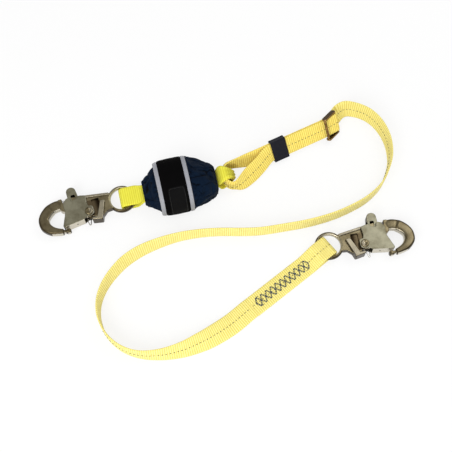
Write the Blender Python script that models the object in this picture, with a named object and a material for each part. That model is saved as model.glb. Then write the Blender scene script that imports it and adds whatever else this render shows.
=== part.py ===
"""Shock absorbing lanyard: two self-locking snap hooks, an energy absorber pack and an adjustable web leg.

Metres, +Z up. The lanyard lies on the plane z = 0 with its hooks on their sides.
"""

import math

import bmesh
import bpy
import numpy as np
from mathutils import Matrix, Vector

MM = 0.001

# Webbing
WEB_WIDTH = 25.4 * MM
WEB_THICKNESS = 2.2 * MM
LAYER_GAP = 0.4 * MM
SEAT_GAP = 0.3 * MM
FLOOR_GAP = 0.2 * MM

# Snap hook, in its own frame: eye centre at the origin, nose along +X, spine along +Y
EYE_CLEARANCE = 0.9 * MM
EYE_BAR = 4.0 * MM
EYE_DEPTH = 7.0 * MM
SHANK_DEPTH = 8.4 * MM
SPINE_RIM_DEPTH = 11.0 * MM
HEEL_RIM_DEPTH = 14.4 * MM
BOW_DEPTH = 11.0 * MM
LOCK_SHEET = 1.2 * MM
GATE_SHEET = 1.4 * MM
GATE_PIVOT = (42.4 * MM, -4.5 * MM)
GATE_RIVET_RADIUS = 2.5 * MM
RIVET_HEAD_RADIUS = 5.0 * MM
RIVET_HEAD_HEIGHT = 1.3 * MM
LOCK_PIVOT = (57.0 * MM, 11.0 * MM)
LOCK_PIN_RADIUS = 2.0 * MM
SPRING_SLOT = 5.2 * MM
GATE_WIRE = 1.2 * MM
GATE_COIL_RADIUS = 3.45 * MM
GATE_COIL_PITCH = 1.7 * MM
GATE_COIL_TURNS = 1.5
LOCK_WIRE = 0.7 * MM
LOCK_COIL_RADIUS = 1.9 * MM
LOCK_COIL_TURNS = 4
LOCK_COIL_LENGTH = 6.3 * MM
POCKET_FLOOR = 1.8 * MM
GATE_HOLE_RADIUS = 1.1 * MM

# Energy absorber pack
PACK_LENGTH = 92.0 * MM
PACK_WIDTH = 71.0 * MM
PACK_HEIGHT = 43.0 * MM
COVER_THICKNESS = 1.5 * MM
BAND_THICKNESS = 1.2 * MM
BAND_START = -28.5 * MM
BAND_END = 12.0 * MM
BAND_FLARE = 3.4 * MM
TRIM_WIDTH = 5.0 * MM
TEAR_RUNS = 5
TEAR_HALF_LENGTH = 26.0 * MM
PACK_MOUTH_HEIGHT = 12.0 * MM
MOUTH_PINCH = 0.82

# Keeper and adjuster
KEEPER_LENGTH = 20.0 * MM
KEEPER_WALL = 1.5 * MM
ADJUSTER_LENGTH = 18.0 * MM
ADJUSTER_BAR = 3.6 * MM
ADJUSTER_SIDE = 2.3 * MM
ADJUSTER_SIDE_HEIGHT = 7.0 * MM
ADJUSTER_TILT = 30.0
FRICTION_BAR = 2.8 * MM
LEG_TILT = 57.0

# Lay of the lanyard on the floor
PLAN_SHIFT = (-0.1 * MM, -15.9 * MM)
EYE_A = (-128.6 * MM, 32.0 * MM)
EYE_B = (124.4 * MM, -29.7 * MM)
HOOK_A_TURN = 20.0
HOOK_B_TURN = 7.3
PACK_TURN = 12.8
STRAP_B_TURN = 38.9
PACK_REACH = 27.5 * MM
EYE_TAIL = 120.0 * MM
KEEPER_AT = (66.4 * MM, 98.3 * MM, 15.5 * MM)
ADJUSTER_AT = (132.7 * MM, 129.6 * MM, 18.5 * MM)
LOOP_REACH = 21.5 * MM
LOOP_HEIGHT = 22.7 * MM
LOOP_PINCH = 13.0 * MM
TURN_PINCH = 19.3 * MM

EYE_INNER = WEB_WIDTH / 2 + EYE_CLEARANCE
EYE_RADIUS = EYE_INNER + EYE_BAR / 2
LOCK_INNER = SHANK_DEPTH / 2 + SEAT_GAP
LOCK_OUTER = LOCK_INNER + LOCK_SHEET
GATE_INNER = LOCK_OUTER + SEAT_GAP
GATE_OUTER = GATE_INNER + GATE_SHEET
RIVET_SEAT = GATE_OUTER + SEAT_GAP
HOOK_LEVEL = RIVET_SEAT + RIVET_HEAD_HEIGHT
BIGHT_RADIUS = EYE_DEPTH / 2 + LAYER_GAP + WEB_THICKNESS / 2
LAYER_STEP = WEB_THICKNESS + LAYER_GAP

# Free web from the adjuster to the sewn eye: x and y in millimetres, lean of the web in degrees
FREE_ROUTE = [
    (153, 157, 72), (167, 155, 74), (180, 149, 76), (190, 140, 78), (198, 128, 80), (204, 112, 82),
    (206, 96, 84), (205, 82, 86), (200, 66, 87), (193, 51, 88), (183, 39, 89), (170, 28, 90),
    (151, 17, 90), (131, 8, 90), (102, -1, 90), (72, -7, 90), (41, -12, 90), (19, -13, 90),
    (-7, -13, 90), (-33, -15, 91), (-59, -20, 94), (-85, -29, 99), (-105, -39, 103), (-121, -51, 104),
    (-134, -66, 102), (-144, -83, 99), (-149, -100, 96), (-149, -115, 94), (-145, -129, 92),
    (-136, -144, 90), (-120, -157, 88), (-100, -164, 84), (-75, -164, 74), (-50, -158, 58),
    (-32, -150, 42), (-19, -143, 30), (6, -126, 12),
]


def unit(turn):
    """Direction in plan at an angle in degrees."""
    return Vector((math.cos(math.radians(turn)), math.sin(math.radians(turn)), 0))


def mm(points):
    """Outline points from millimetres to metres; a third value is the corner radius."""
    return [tuple(value * MM for value in point) for point in points]


# Mesh makers

def mesh_from(name, verts, faces):
    mesh = bpy.data.meshes.new(name)
    mesh.from_pydata([tuple(v) for v in verts], [], faces)
    work = bmesh.new()
    work.from_mesh(mesh)
    bmesh.ops.recalc_face_normals(work, faces=work.faces)
    work.to_mesh(mesh)
    work.free()
    return mesh


def loft(name, rings, closed=False):
    """Skin over rings with the same number of points each, capped unless it closes on itself."""
    sides = len(rings[0])
    count = len(rings)
    verts = [point for ring in rings for point in ring]
    faces = []
    for i in range(count if closed else count - 1):
        a = i * sides
        b = (i + 1) % count * sides
        for j in range(sides):
            k = (j + 1) % sides
            faces.append((a + j, a + k, b + k, b + j))
    if not closed:
        faces.append(tuple(reversed(range(sides))))
        faces.append(tuple(range((count - 1) * sides, count * sides)))
    return mesh_from(name, verts, faces)


def rounded(points, steps=4):
    """Closed outline with each corner that has a radius turned into an arc."""
    outline = []
    count = len(points)
    for i, point in enumerate(points):
        here = Vector(point[:2])
        radius = point[2] if len(point) > 2 else 0
        if not radius:
            outline.append(tuple(here))
            continue
        back = Vector(points[i - 1][:2]) - here
        ahead = Vector(points[(i + 1) % count][:2]) - here
        half = back.angle(ahead) / 2
        reach = min(radius / math.tan(half), 0.49 * back.length, 0.49 * ahead.length)
        radius = reach * math.tan(half)
        centre = here + (back.normalized() + ahead.normalized()).normalized() * radius / math.sin(half)
        first = here + back.normalized() * reach - centre
        last = here + ahead.normalized() * reach - centre
        swing = first.angle_signed(last)
        for k in range(steps + 1):
            angle = -swing * k / steps
            turned = Matrix.Rotation(angle, 2) @ first
            outline.append(tuple(centre + turned))
    return outline


def prism(name, outline, low, high, bevel=0.0, steps=1):
    """Plate from a closed outline, with its two rims softened."""
    count = len(outline)
    verts = [(x, y, low) for x, y in outline] + [(x, y, high) for x, y in outline]
    faces = [tuple(range(count)), tuple(range(count, 2 * count))]
    for i in range(count):
        k = (i + 1) % count
        faces.append((i, k, count + k, count + i))
    mesh = mesh_from(name, verts, faces)
    if bevel:
        work = bmesh.new()
        work.from_mesh(mesh)
        rims = [e for e in work.edges if abs(e.verts[0].co.z - e.verts[1].co.z) < 1e-7]
        bmesh.ops.bevel(work, geom=rims, offset=bevel, segments=steps, profile=0.5, affect="EDGES")
        work.to_mesh(mesh)
        work.free()
    return mesh


def drum(name, centre, radius, low, high, sides=18):
    outline = []
    for i in range(sides):
        angle = 2 * math.pi * i / sides
        outline.append((centre[0] + radius * math.cos(angle), centre[1] + radius * math.sin(angle)))
    return prism(name, outline, low, high)


def lathe(name, centre, profile, sides=18):
    """Solid of revolution about an axis along Z; the profile runs from axis to axis as radius, height."""
    verts = [(centre[0], centre[1], profile[0][1])]
    for radius, height in profile[1:-1]:
        for i in range(sides):
            angle = 2 * math.pi * i / sides
            verts.append((centre[0] + radius * math.cos(angle), centre[1] + radius * math.sin(angle), height))
    verts.append((centre[0], centre[1], profile[-1][1]))
    faces = []
    rows = len(profile) - 2
    for i in range(sides):
        k = (i + 1) % sides
        faces.append((0, 1 + k, 1 + i))
        for row in range(rows - 1):
            a = 1 + row * sides
            faces.append((a + i, a + k, a + sides + k, a + sides + i))
        a = 1 + (rows - 1) * sides
        faces.append((a + i, a + k, len(verts) - 1))
    return mesh_from(name, verts, faces)


def joined(name, base, tools, operation):
    """Mesh of a base with other meshes added to it or cut out of it."""
    holders = [bpy.data.objects.new("work", mesh) for mesh in [base] + tools]
    for holder in holders:
        bpy.context.scene.collection.objects.link(holder)
    for holder in holders[1:]:
        step = holders[0].modifiers.new("step", "BOOLEAN")
        step.operation = operation
        step.solver = "EXACT"
        step.object = holder
    graph = bpy.context.evaluated_depsgraph_get()
    mesh = bpy.data.meshes.new_from_object(holders[0].evaluated_get(graph))
    mesh.name = name
    for holder in holders:
        bpy.data.objects.remove(holder)
    return mesh


def smooth_route(points, spacing):
    """Even samples of a smooth curve through the points; every column is carried along."""
    knots = np.array(points, float)
    chord = np.linalg.norm(np.diff(knots[:, :3], axis=0), axis=1)
    at = np.concatenate([[0], np.cumsum(np.sqrt(chord))])
    slopes = np.gradient(knots, at, axis=0)
    samples = []
    for i in range(len(knots) - 1):
        span = at[i + 1] - at[i]
        for t in np.linspace(0, 1, 24, endpoint=i == len(knots) - 2):
            a = 2 * t ** 3 - 3 * t ** 2 + 1
            b = t ** 3 - 2 * t ** 2 + t
            c = 3 * t ** 2 - 2 * t ** 3
            d = t ** 3 - t ** 2
            samples.append(a * knots[i] + b * span * slopes[i] + c * knots[i + 1] + d * span * slopes[i + 1])
    samples = np.array(samples)
    length = np.concatenate([[0], np.cumsum(np.linalg.norm(np.diff(samples[:, :3], axis=0), axis=1))])
    wanted = np.linspace(0, length[-1], max(2, round(length[-1] / spacing)) + 1)
    return np.stack([np.interp(wanted, length, column) for column in samples.T], axis=1)


def web(name, stations, first_across):
    """Flat web along stations of x, y, z, lean in degrees, width and thickness.

    A lean of 0 lies flat, 90 stands on edge; the raised edge is on the left of the way along.
    The first stations ease away from a given direction across the web.
    """
    places = [Vector(s[:3]) for s in stations]
    rings = []
    for i, station in enumerate(stations):
        ahead = (places[min(i + 1, len(places) - 1)] - places[max(i - 1, 0)]).normalized()
        left = Vector((-ahead.y, ahead.x, 0))
        left = left.normalized() if left.length > 1e-6 else Vector((0, 1, 0))
        lean = math.radians(station[3])
        across = left * math.cos(lean) + Vector((0, 0, 1)) * math.sin(lean)
        across = across.lerp(first_across, max(0.0, 1 - i / 5))
        across = (across - ahead * across.dot(ahead)).normalized()
        rings.append(web_ring(places[i], across, ahead.cross(across), station[4], station[5]))
    return loft(name, rings)


def web_ring(place, across, up, width, thickness):
    """Section of a web with slightly rounded selvedges."""
    half = width / 2
    flat = half - thickness * 0.35
    rise = thickness / 2
    corners = [(half, 0), (flat, rise), (-flat, rise), (-half, 0), (-flat, -rise), (flat, -rise)]
    return [place + across * u + up * v for u, v in corners]


def side_web(name, origin, along, profile, widths=None, thicknesses=None):
    """Web bent only in an upright plane: the profile is distance along and height."""
    across = Vector((0, 0, 1)).cross(along)
    rings = []
    count = len(profile)
    for i, (reach, height) in enumerate(profile):
        r0, z0 = profile[max(i - 1, 0)]
        r1, z1 = profile[min(i + 1, count - 1)]
        ahead = (along * (r1 - r0) + Vector((0, 0, z1 - z0))).normalized()
        place = Vector(origin) + along * reach + Vector((0, 0, height))
        width = widths[i] if widths else WEB_WIDTH
        thickness = thicknesses[i] if thicknesses else WEB_THICKNESS
        rings.append(web_ring(place, across, ahead.cross(across), width, thickness))
    return loft(name, rings)


def bend(centre, radius, start, end, steps):
    """Arc of a side profile, angles in degrees."""
    points = []
    for i in range(steps + 1):
        angle = math.radians(start + (end - start) * i / steps)
        points.append((centre[0] + radius * math.cos(angle), centre[1] + radius * math.sin(angle)))
    return points


def wire(name, path, radius, sides=6):
    """Round wire along a path of points."""
    path = [Vector(p) for p in path]
    rings = []
    aside = None
    for i, place in enumerate(path):
        ahead = (path[min(i + 1, len(path) - 1)] - path[max(i - 1, 0)]).normalized()
        if aside is None:
            aside = ahead.orthogonal().normalized()
        aside = (aside - ahead * aside.dot(ahead)).normalized()
        other = ahead.cross(aside)
        ring = []
        for k in range(sides):
            angle = 2 * math.pi * k / sides
            ring.append(place + (aside * math.cos(angle) + other * math.sin(angle)) * radius)
        rings.append(ring)
    return loft(name, rings)


def section(half_wide, half_deep, sides=14, power=2.6):
    """Rounded section as offsets across and up."""
    points = []
    for i in range(sides):
        angle = 2 * math.pi * (i + 0.5) / sides
        c = math.cos(angle)
        s = math.sin(angle)
        points.append((math.copysign(abs(c) ** (2 / power), c) * half_wide,
                       math.copysign(abs(s) ** (2 / power), s) * half_deep))
    return points


# Objects and materials

def material(name, colour, roughness, metallic=0.0):
    made = bpy.data.materials.new(name)
    made.use_nodes = True
    shader = made.node_tree.nodes["Principled BSDF"]
    shader.inputs["Base Color"].default_value = (*colour, 1)
    shader.inputs["Roughness"].default_value = roughness
    shader.inputs["Metallic"].default_value = metallic
    return made


def empty(name, parent=None, matrix=None):
    made = bpy.data.objects.new(name, None)
    bpy.context.scene.collection.objects.link(made)
    made.parent = parent
    if matrix is not None:
        made.matrix_local = matrix
    return made


def node(name, mesh, finish, parent):
    mesh.materials.clear()
    mesh.materials.append(finish)
    mesh.shade_smooth()
    mesh.set_sharp_from_angle(angle=math.radians(32))
    made = bpy.data.objects.new(name, mesh)
    bpy.context.scene.collection.objects.link(made)
    made.parent = parent
    return made


for old in list(bpy.data.objects):
    bpy.data.objects.remove(old)

plated = material("plated_steel", (0.60, 0.52, 0.33), 0.36, 0.9)
spring_steel = material("spring_steel", (0.62, 0.62, 0.62), 0.3, 1.0)
lime = material("lime_web", (0.80, 0.76, 0.07), 0.75)
yellow = material("yellow_web", (0.88, 0.76, 0.16), 0.75)
navy = material("navy_fabric", (0.008, 0.016, 0.036), 0.85)
black = material("black_web", (0.012, 0.012, 0.014), 0.8)
grey = material("grey_trim", (0.55, 0.57, 0.58), 0.5)
dull = material("adjuster_steel", (0.34, 0.29, 0.16), 0.42, 0.9)
white = material("white_tear_web", (0.75, 0.74, 0.68), 0.8)

lanyard = empty("lanyard", None, Matrix.Translation((PLAN_SHIFT[0], PLAN_SHIFT[1], 0)))


# Hook body: eye, shank with a pocket in each face, rims along its spine and heel, bow and nose knob

def hook_body():
    rings = []
    for i in range(32):
        angle = 2 * math.pi * i / 32
        out = Vector((math.cos(angle), math.sin(angle), 0))
        bar = section(EYE_BAR / 2, EYE_DEPTH / 2, 8, 2.2)
        rings.append([out * (EYE_RADIUS + u) + Vector((0, 0, v)) for u, v in bar])
    eye = loft("eye", rings, closed=True)

    joint = [tuple(unit(angle)[k] * EYE_RADIUS for k in (0, 1)) for angle in (-36, -8, 20, 48)]
    lower = mm([(21, -9.5, 3), (30, -17, 2), (36, -15.5, 2), (38.3, -10.7, 3), (48.8, -10.7, 5.5),
                (48.8, -5.4, 1.5), (54, -4.8, 3), (62, -0.6, 5), (70.5, 5, 4), (75, 9, 2)])
    upper = mm([(75, 24, 1.2), (70, 23.8, 1.2), (70, 18, 0.8), (60.3, 18, 0.8), (60.3, 22.2, 1.2),
                (52, 20.5, 6), (42, 18, 8), (16, 12.4, 6)])
    outline = [joint[0]] + lower + upper + [joint[3], joint[2], joint[1]]
    half = SHANK_DEPTH / 2
    shank = prism("shank", rounded(outline, 3), -half, half, 0.5 * MM)

    half = SPINE_RIM_DEPTH / 2
    rim = mm([(13.4, 9, 1.2), (28, 12, 3), (42, 14.8, 1.2), (42, 18.5, 1.2), (17, 13.1, 4), (12.8, 12.2, 1.2)])
    spine = prism("spine", rounded(rim, 3), -half, half, 0.6 * MM)

    half = HEEL_RIM_DEPTH / 2
    rim = mm([(19.6, 4.2, 1.4), (29.2, -19.4, 1.8), (41.6, -16.4, 1.4), (41.6, -13.2, 1.4), (34.8, -14.2, 2),
              (25.8, 5, 1.4)])
    heel = prism("heel", rounded(rim, 3), -half, half, 0.8 * MM)

    # Bow stations: centre x and y, half width and half depth as a share of the bow's depth
    stations = [(71, 16.4, 6.0, 0.73), (74.4, 17.1, 6.5, 0.80), (78.4, 17.4, 6.7, 0.84), (85.6, 16, 6.7, 0.86),
                (86.6, 15.5, 6.8, 1.0), (91, 12.6, 6.8, 1.0), (95.6, 8, 6.7, 1.0), (97.8, 3.8, 6.6, 1.0),
                (97.8, -3.8, 6.6, 1.0), (95.6, -8, 6.0, 1.0), (91.6, -12.2, 5.2, 0.98), (86.2, -15.2, 4.2, 0.94),
                (81, -17.2, 3.5, 0.9), (79.4, -17.6, 3.2, 0.86), (78.6, -17.8, 2.2, 0.66), (76, -18.3, 2.0, 0.6),
                (74.8, -18.5, 2.7, 0.66), (73, -18.7, 3.2, 0.7), (71.2, -18.8, 2.8, 0.66), (70, -18.8, 1.6, 0.5)]
    places = [Vector((x * MM, y * MM, 0)) for x, y, _, _ in stations]
    rings = []
    for i, (_, _, wide, deep) in enumerate(stations):
        ahead = (places[min(i + 1, len(places) - 1)] - places[max(i - 1, 0)]).normalized()
        out = Vector((-ahead.y, ahead.x, 0))
        edge = section(wide * MM, deep * BOW_DEPTH / 2, 14, 3.0)
        rings.append([places[i] + out * u + Vector((0, 0, v)) for u, v in edge])
    bow = loft("bow", rings)

    solid = joined("solid", shank, [eye, spine, heel, bow], "UNION")
    slot = mm([(38, -12.5), (52, -12.5), (52, -3.6, 1), (49.4, 0.8, 2), (38, 0.8, 2)])
    pocket = mm([(27.4, 10, 1.5), (26.8, 5, 1.5), (34.6, -11.6, 1.5), (36.4, -11.6, 0.8), (36.4, 10.6, 1.5)])
    pocket = rounded(pocket, 3)
    cutters = [
        prism("pocket", pocket, POCKET_FLOOR, SHANK_DEPTH),
        prism("pocket", pocket, -SHANK_DEPTH, -POCKET_FLOOR),
        prism("slot", rounded(slot, 3), -SPRING_SLOT / 2, SPRING_SLOT / 2),
        drum("rivet_hole", GATE_PIVOT, GATE_RIVET_RADIUS + SEAT_GAP, -0.02, 0.02),
        drum("pin_hole", LOCK_PIVOT, LOCK_PIN_RADIUS + SEAT_GAP, -0.02, 0.02),
    ]
    return joined("hook_body", solid, cutters, "DIFFERENCE")


# Gate: a folded channel round the shank that closes on the nose

def hook_gate():
    outline = mm([(36.2, 1.7, 5), (36.2, -10.7, 6.2), (46.5, -10.7, 2), (51, -13, 1), (75.5, -15, 1.2),
                  (77.5, -13.4, 1), (70.2, 3.5, 8), (70.2, 15, 4), (64.5, 21, 3), (60.2, 20.6, 0.8),
                  (59.4, 15, 1.2), (52.2, 16.8, 1.2), (50.8, 19.7, 0.8), (47, 19.2, 3), (40.6, 17.2, 1.2),
                  (41.8, 8, 3), (41.6, 2.5, 2)])
    block = prism("gate", rounded(outline, 3), -GATE_OUTER, GATE_OUTER, 0.5 * MM)
    inside = mm([(30, -20), (50.6, -20), (50.6, -11.5), (85, -14.2), (85, 30), (30, 30)])
    hole = wire("web_hole", mm([(60, -18, 0), (60, -8, 0)]), GATE_HOLE_RADIUS, 12)
    cutters = [
        prism("inside", inside, -GATE_INNER, GATE_INNER),
        drum("rivet_hole", GATE_PIVOT, GATE_RIVET_RADIUS + SEAT_GAP, -0.02, 0.02),
        hole,
    ]
    return joined("hook_gate", block, cutters, "DIFFERENCE")


# Lock: a second channel inside the gate, with a thumb pad over the spine and a toe behind the gate's web

def hook_lock():
    outline = mm([(48.8, -10, 0.8), (52.3, -10, 0.8), (54.6, -6.5, 3), (55.2, 2, 4), (62.4, 6, 5),
                  (63, 16, 3), (63, 34.5, 6.4), (50, 34.5, 6.4), (50, 24, 2), (51, 14, 4), (51.5, 5, 4),
                  (51.5, -4.4, 3)])
    block = prism("lock", rounded(outline, 3), -LOCK_OUTER, LOCK_OUTER, 0.4 * MM)
    inside = mm([(40, -30), (80, -30), (80, 20.3), (61.8, 20.3), (61.8, 33.2, 5.2), (51.2, 33.2, 5.2),
                 (51.2, 24.4), (40, 24.4)])
    window = mm([(52.6, 17.6, 0.8), (58, 16.2, 0.8), (58.6, 23.6, 1.6), (53.2, 23.6, 1.6)])
    cutters = [
        prism("inside", rounded(inside, 3), -LOCK_INNER, LOCK_INNER),
        prism("window", rounded(window, 3), -0.02, 0.02),
        drum("pin_hole", LOCK_PIVOT, LOCK_PIN_RADIUS + SEAT_GAP, -0.02, 0.02),
    ]
    return joined("hook_lock", block, cutters, "DIFFERENCE")


def gate_rivet():
    r = GATE_RIVET_RADIUS
    head = RIVET_HEAD_RADIUS
    seat = RIVET_SEAT
    top = RIVET_SEAT + RIVET_HEAD_HEIGHT
    half = [(r, seat), (head, seat), (head, seat + 0.5 * MM), (head * 0.86, top - 0.25 * MM), (head * 0.6, top)]
    profile = [(0, -top)] + [(a, -b) for a, b in reversed(half)] + half + [(0, top)]
    return lathe("gate_rivet", GATE_PIVOT, profile)


def lock_pin():
    r = LOCK_PIN_RADIUS
    end = LOCK_OUTER
    profile = [(0, -end), (r * 0.8, -end), (r, -end + 0.4 * MM), (r, end - 0.4 * MM), (r * 0.8, end), (0, end)]
    return lathe("lock_pin", LOCK_PIVOT, profile)


def gate_spring():
    """Torsion coil round the rivet: a short leg on the shank and a hairpin leg behind the gate's web."""
    rise = GATE_COIL_PITCH * GATE_COIL_TURNS
    cx, cy = GATE_PIVOT
    path = [(cx + GATE_COIL_RADIUS, cy + 3.6 * MM, -rise / 2), (cx + GATE_COIL_RADIUS, cy + 1.6 * MM, -rise / 2)]
    steps = round(12 * GATE_COIL_TURNS)
    for i in range(steps + 1):
        angle = -2 * math.pi * GATE_COIL_TURNS * i / steps
        path.append((cx + GATE_COIL_RADIUS * math.cos(angle), cy + GATE_COIL_RADIUS * math.sin(angle),
                     -rise / 2 + rise * i / steps))
    path = path[:-1]
    hairpin = [(-2.6, -6.2, 1.5), (-0.4, -7.6, 1.1), (1.0, -9.6, 0.6), (2.2, -13.6, 0.2), (2.9, -15.4, 0),
               (3.4, -15.9, 0), (3.9, -15.4, 0), (4.5, -13.4, 0), (5.2, -8.4, 0)]
    return path, [(cx + x * MM, cy + y * MM, z * MM) for x, y, z in hairpin]


def gate_spring_mesh():
    path, hairpin = gate_spring()
    # The coil runs clockwise, so its far end leaves on the left side and comes down to the hairpin
    cx, cy = GATE_PIVOT
    rise = GATE_COIL_PITCH * GATE_COIL_TURNS
    exit_leg = [(cx - GATE_COIL_RADIUS, cy, rise / 2), (cx - GATE_COIL_RADIUS, cy - 2.6 * MM, rise / 2),
                (cx - GATE_COIL_RADIUS * 0.96, cy - 4.4 * MM, rise / 2)]
    return wire("gate_spring", path + exit_leg + hairpin, GATE_WIRE / 2, 5)


def lock_spring():
    start = 63.35 * MM
    run = LOCK_COIL_LENGTH - LOCK_WIRE
    steps = 10 * LOCK_COIL_TURNS
    path = []
    for i in range(steps + 1):
        angle = 2 * math.pi * LOCK_COIL_TURNS * i / steps
        path.append((start + LOCK_WIRE / 2 + run * i / steps,
                     20.65 * MM + LOCK_COIL_RADIUS * math.cos(angle), LOCK_COIL_RADIUS * math.sin(angle)))
    return wire("lock_spring", path, LOCK_WIRE / 2, 5)


hook_pieces = [
    ("body", hook_body(), plated), ("gate", hook_gate(), plated), ("gate_rivet", gate_rivet(), plated),
    ("gate_spring", gate_spring_mesh(), spring_steel), ("lock", hook_lock(), plated),
    ("lock_pin", lock_pin(), spring_steel), ("lock_spring", lock_spring(), spring_steel),
]

# Each hook hangs from an empty on its swing axis, which crosses the eye's bar where the web leaves it
eye_a = Vector((*EYE_A, HOOK_LEVEL))
eye_b = Vector((*EYE_B, HOOK_LEVEL))
pack_along = unit(PACK_TURN)
strap_along = unit(STRAP_B_TURN + 180)
swing_a = eye_a + pack_along * EYE_RADIUS
swing_b = eye_b + strap_along * EYE_RADIUS
turned_a = Matrix.Rotation(math.radians(HOOK_A_TURN), 4, "Z") @ Matrix.Rotation(math.pi, 4, "Y")
turned_b = Matrix.Rotation(math.radians(HOOK_B_TURN), 4, "Z")
hook_a = empty("hook_a_axis", lanyard, Matrix.Translation(swing_a) @ turned_a)
hook_b = empty("hook_b_axis", lanyard, Matrix.Translation(swing_b) @ turned_b)
frames = {
    "hook_a": empty("hook_a_eye", hook_a, Matrix.Translation(turned_a.inverted() @ (eye_a - swing_a))),
    "hook_b": empty("hook_b_eye", hook_b, Matrix.Translation(turned_b.inverted() @ (eye_b - swing_b))),
}
pivots = {"gate": Vector((*GATE_PIVOT, 0)), "lock": Vector((*LOCK_PIVOT, 0))}
for piece, mesh, finish in hook_pieces:
    pivot = pivots.get(piece, Vector())
    mesh.transform(Matrix.Translation(-pivot))
    for hook, frame in frames.items():
        node(hook + "_" + piece, mesh, finish, frame).location = pivot


# Energy absorber pack, in a frame at its middle with X along its length

eye_a.z = 0
eye_b.z = 0
pack_middle = eye_a + pack_along * (PACK_REACH + PACK_LENGTH / 2)
pack = empty("pack_frame", lanyard,
             Matrix.Translation(pack_middle) @ Matrix.Rotation(math.radians(PACK_TURN), 4, "Z"))

# Share of the way from the mouth's size to the full width and height, from the hook end to the strap end
PACK_SHAPE = [(-1.0, 0.0, 0.0), (-0.93, 0.16, 0.14), (-0.82, 0.40, 0.36), (-0.66, 0.67, 0.64),
              (-0.45, 0.89, 0.86), (-0.2, 0.98, 0.97), (0.05, 1.0, 1.0), (0.28, 0.95, 0.96), (0.48, 0.80, 0.84),
              (0.66, 0.57, 0.63), (0.82, 0.31, 0.37), (0.93, 0.13, 0.16), (1.0, 0.0, 0.0)]
cover_outer = -BAND_THICKNESS - SEAT_GAP
cover_inner = cover_outer - COVER_THICKNESS
mouth_wide = MOUTH_PINCH * WEB_WIDTH / 2 + 1.2 * MM - cover_inner
mouth_high = LAYER_STEP + WEB_THICKNESS / 2 + 1.2 * MM - cover_inner
PACK_MIDDLE = PACK_HEIGHT * 0.36


def pack_ring(along, grow, flare=0.0, sides=24):
    """Section of the pack at a place along it, grown outwards by an amount; nearly square at the mouths.

    A flare widens it at the sides and the top but not where it lies on the floor.
    """
    shape = np.array(PACK_SHAPE)
    share = along / (PACK_LENGTH / 2)
    spread = np.interp(share, shape[:, 0], shape[:, 1])
    full = np.interp(share, shape[:, 0], shape[:, 2])
    wide = mouth_wide + spread * (PACK_WIDTH / 2 - mouth_wide) + grow + flare
    middle = PACK_MOUTH_HEIGHT + full * (PACK_MIDDLE - PACK_MOUTH_HEIGHT)
    low = mouth_high + full * (PACK_MIDDLE - mouth_high) + grow
    high = mouth_high + full * (PACK_HEIGHT - PACK_MIDDLE - mouth_high) + grow + flare
    square = max(0.0, 1 - 2.5 * full)
    ring = []
    for i in range(sides):
        angle = 2 * math.pi * (i + 0.5) / sides
        c = math.cos(angle)
        s = math.sin(angle)
        power = (2.4 if s > 0 else 3.4) + 3 * square
        y = math.copysign(abs(c) ** (2 / power), c) * wide
        z = math.copysign(abs(s) ** (2 / power), s) * (high if s > 0 else low)
        ring.append(Vector((along, y, middle + z)))
    return ring


def band_flare(along):
    """The stiff band stands off the cover where the cover draws in towards the hook end."""
    return BAND_FLARE * max(0.0, along / BAND_START) ** 1.6


def pack_sleeve(name, places, inner, outer, flare=None):
    lifts = [flare(s) if flare else 0.0 for s in places]
    rings = [pack_ring(s, outer, lift) for s, lift in zip(places, lifts)]
    rings += [pack_ring(s, inner, lift) for s, lift in reversed(list(zip(places, lifts)))]
    return loft(name, rings, closed=True)


cover_places = np.linspace(-PACK_LENGTH / 2, PACK_LENGTH / 2, 15)
node("pack_cover", pack_sleeve("pack_cover", cover_places, cover_inner, cover_outer), navy, pack)
first_trim = np.linspace(BAND_START, BAND_START + TRIM_WIDTH, 3)
band_places = np.linspace(first_trim[-1] + SEAT_GAP, BAND_END - TRIM_WIDTH - SEAT_GAP, 5)
last_trim = np.linspace(BAND_END - TRIM_WIDTH, BAND_END, 3)
node("label_band", pack_sleeve("label_band", band_places, -BAND_THICKNESS, 0, band_flare), black, pack)
node("band_trim_hook_end", pack_sleeve("trim_hook", first_trim, -BAND_THICKNESS, 0, band_flare), grey, pack)
node("band_trim_strap_end", pack_sleeve("trim_strap", last_trim, -BAND_THICKNESS, 0, band_flare), grey, pack)

# Tear web: folded back and forth, its two tails sewn between the layers of the end loops
tear = [(-PACK_LENGTH / 2 + 3 * MM, PACK_MOUTH_HEIGHT)]
step = LAYER_STEP + 0.6 * MM
for i in range(TEAR_RUNS):
    height = PACK_MOUTH_HEIGHT + i * step
    rightward = i % 2 == 0
    side = 1 if rightward else -1
    tear.append((-side * (TEAR_HALF_LENGTH if i else 1.2 * TEAR_HALF_LENGTH), height))
    if i == TEAR_RUNS - 1:
        break
    tear.append((side * TEAR_HALF_LENGTH, height))
    for angle in (-60, -30, 0, 30, 60):
        tear.append((side * (TEAR_HALF_LENGTH + step / 2 * math.cos(math.radians(angle))),
                     height + step / 2 + step / 2 * math.sin(math.radians(angle))))
top = PACK_MOUTH_HEIGHT + (TEAR_RUNS - 1) * step
tear += [(TEAR_HALF_LENGTH - 6 * MM, top), (TEAR_HALF_LENGTH, top - 0.6 * MM)]
tear += [(TEAR_HALF_LENGTH + 5 * MM, top - 4.6 * MM),
         (TEAR_HALF_LENGTH + 10 * MM, PACK_MOUTH_HEIGHT + 1.6 * MM),
         (TEAR_HALF_LENGTH + 13 * MM, PACK_MOUTH_HEIGHT + 0.2 * MM),
         (PACK_LENGTH / 2 - 3 * MM, PACK_MOUTH_HEIGHT)]
node("tear_web", side_web("tear_web", (0, 0, 0), Vector((1, 0, 0)), tear), white, pack)

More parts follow.
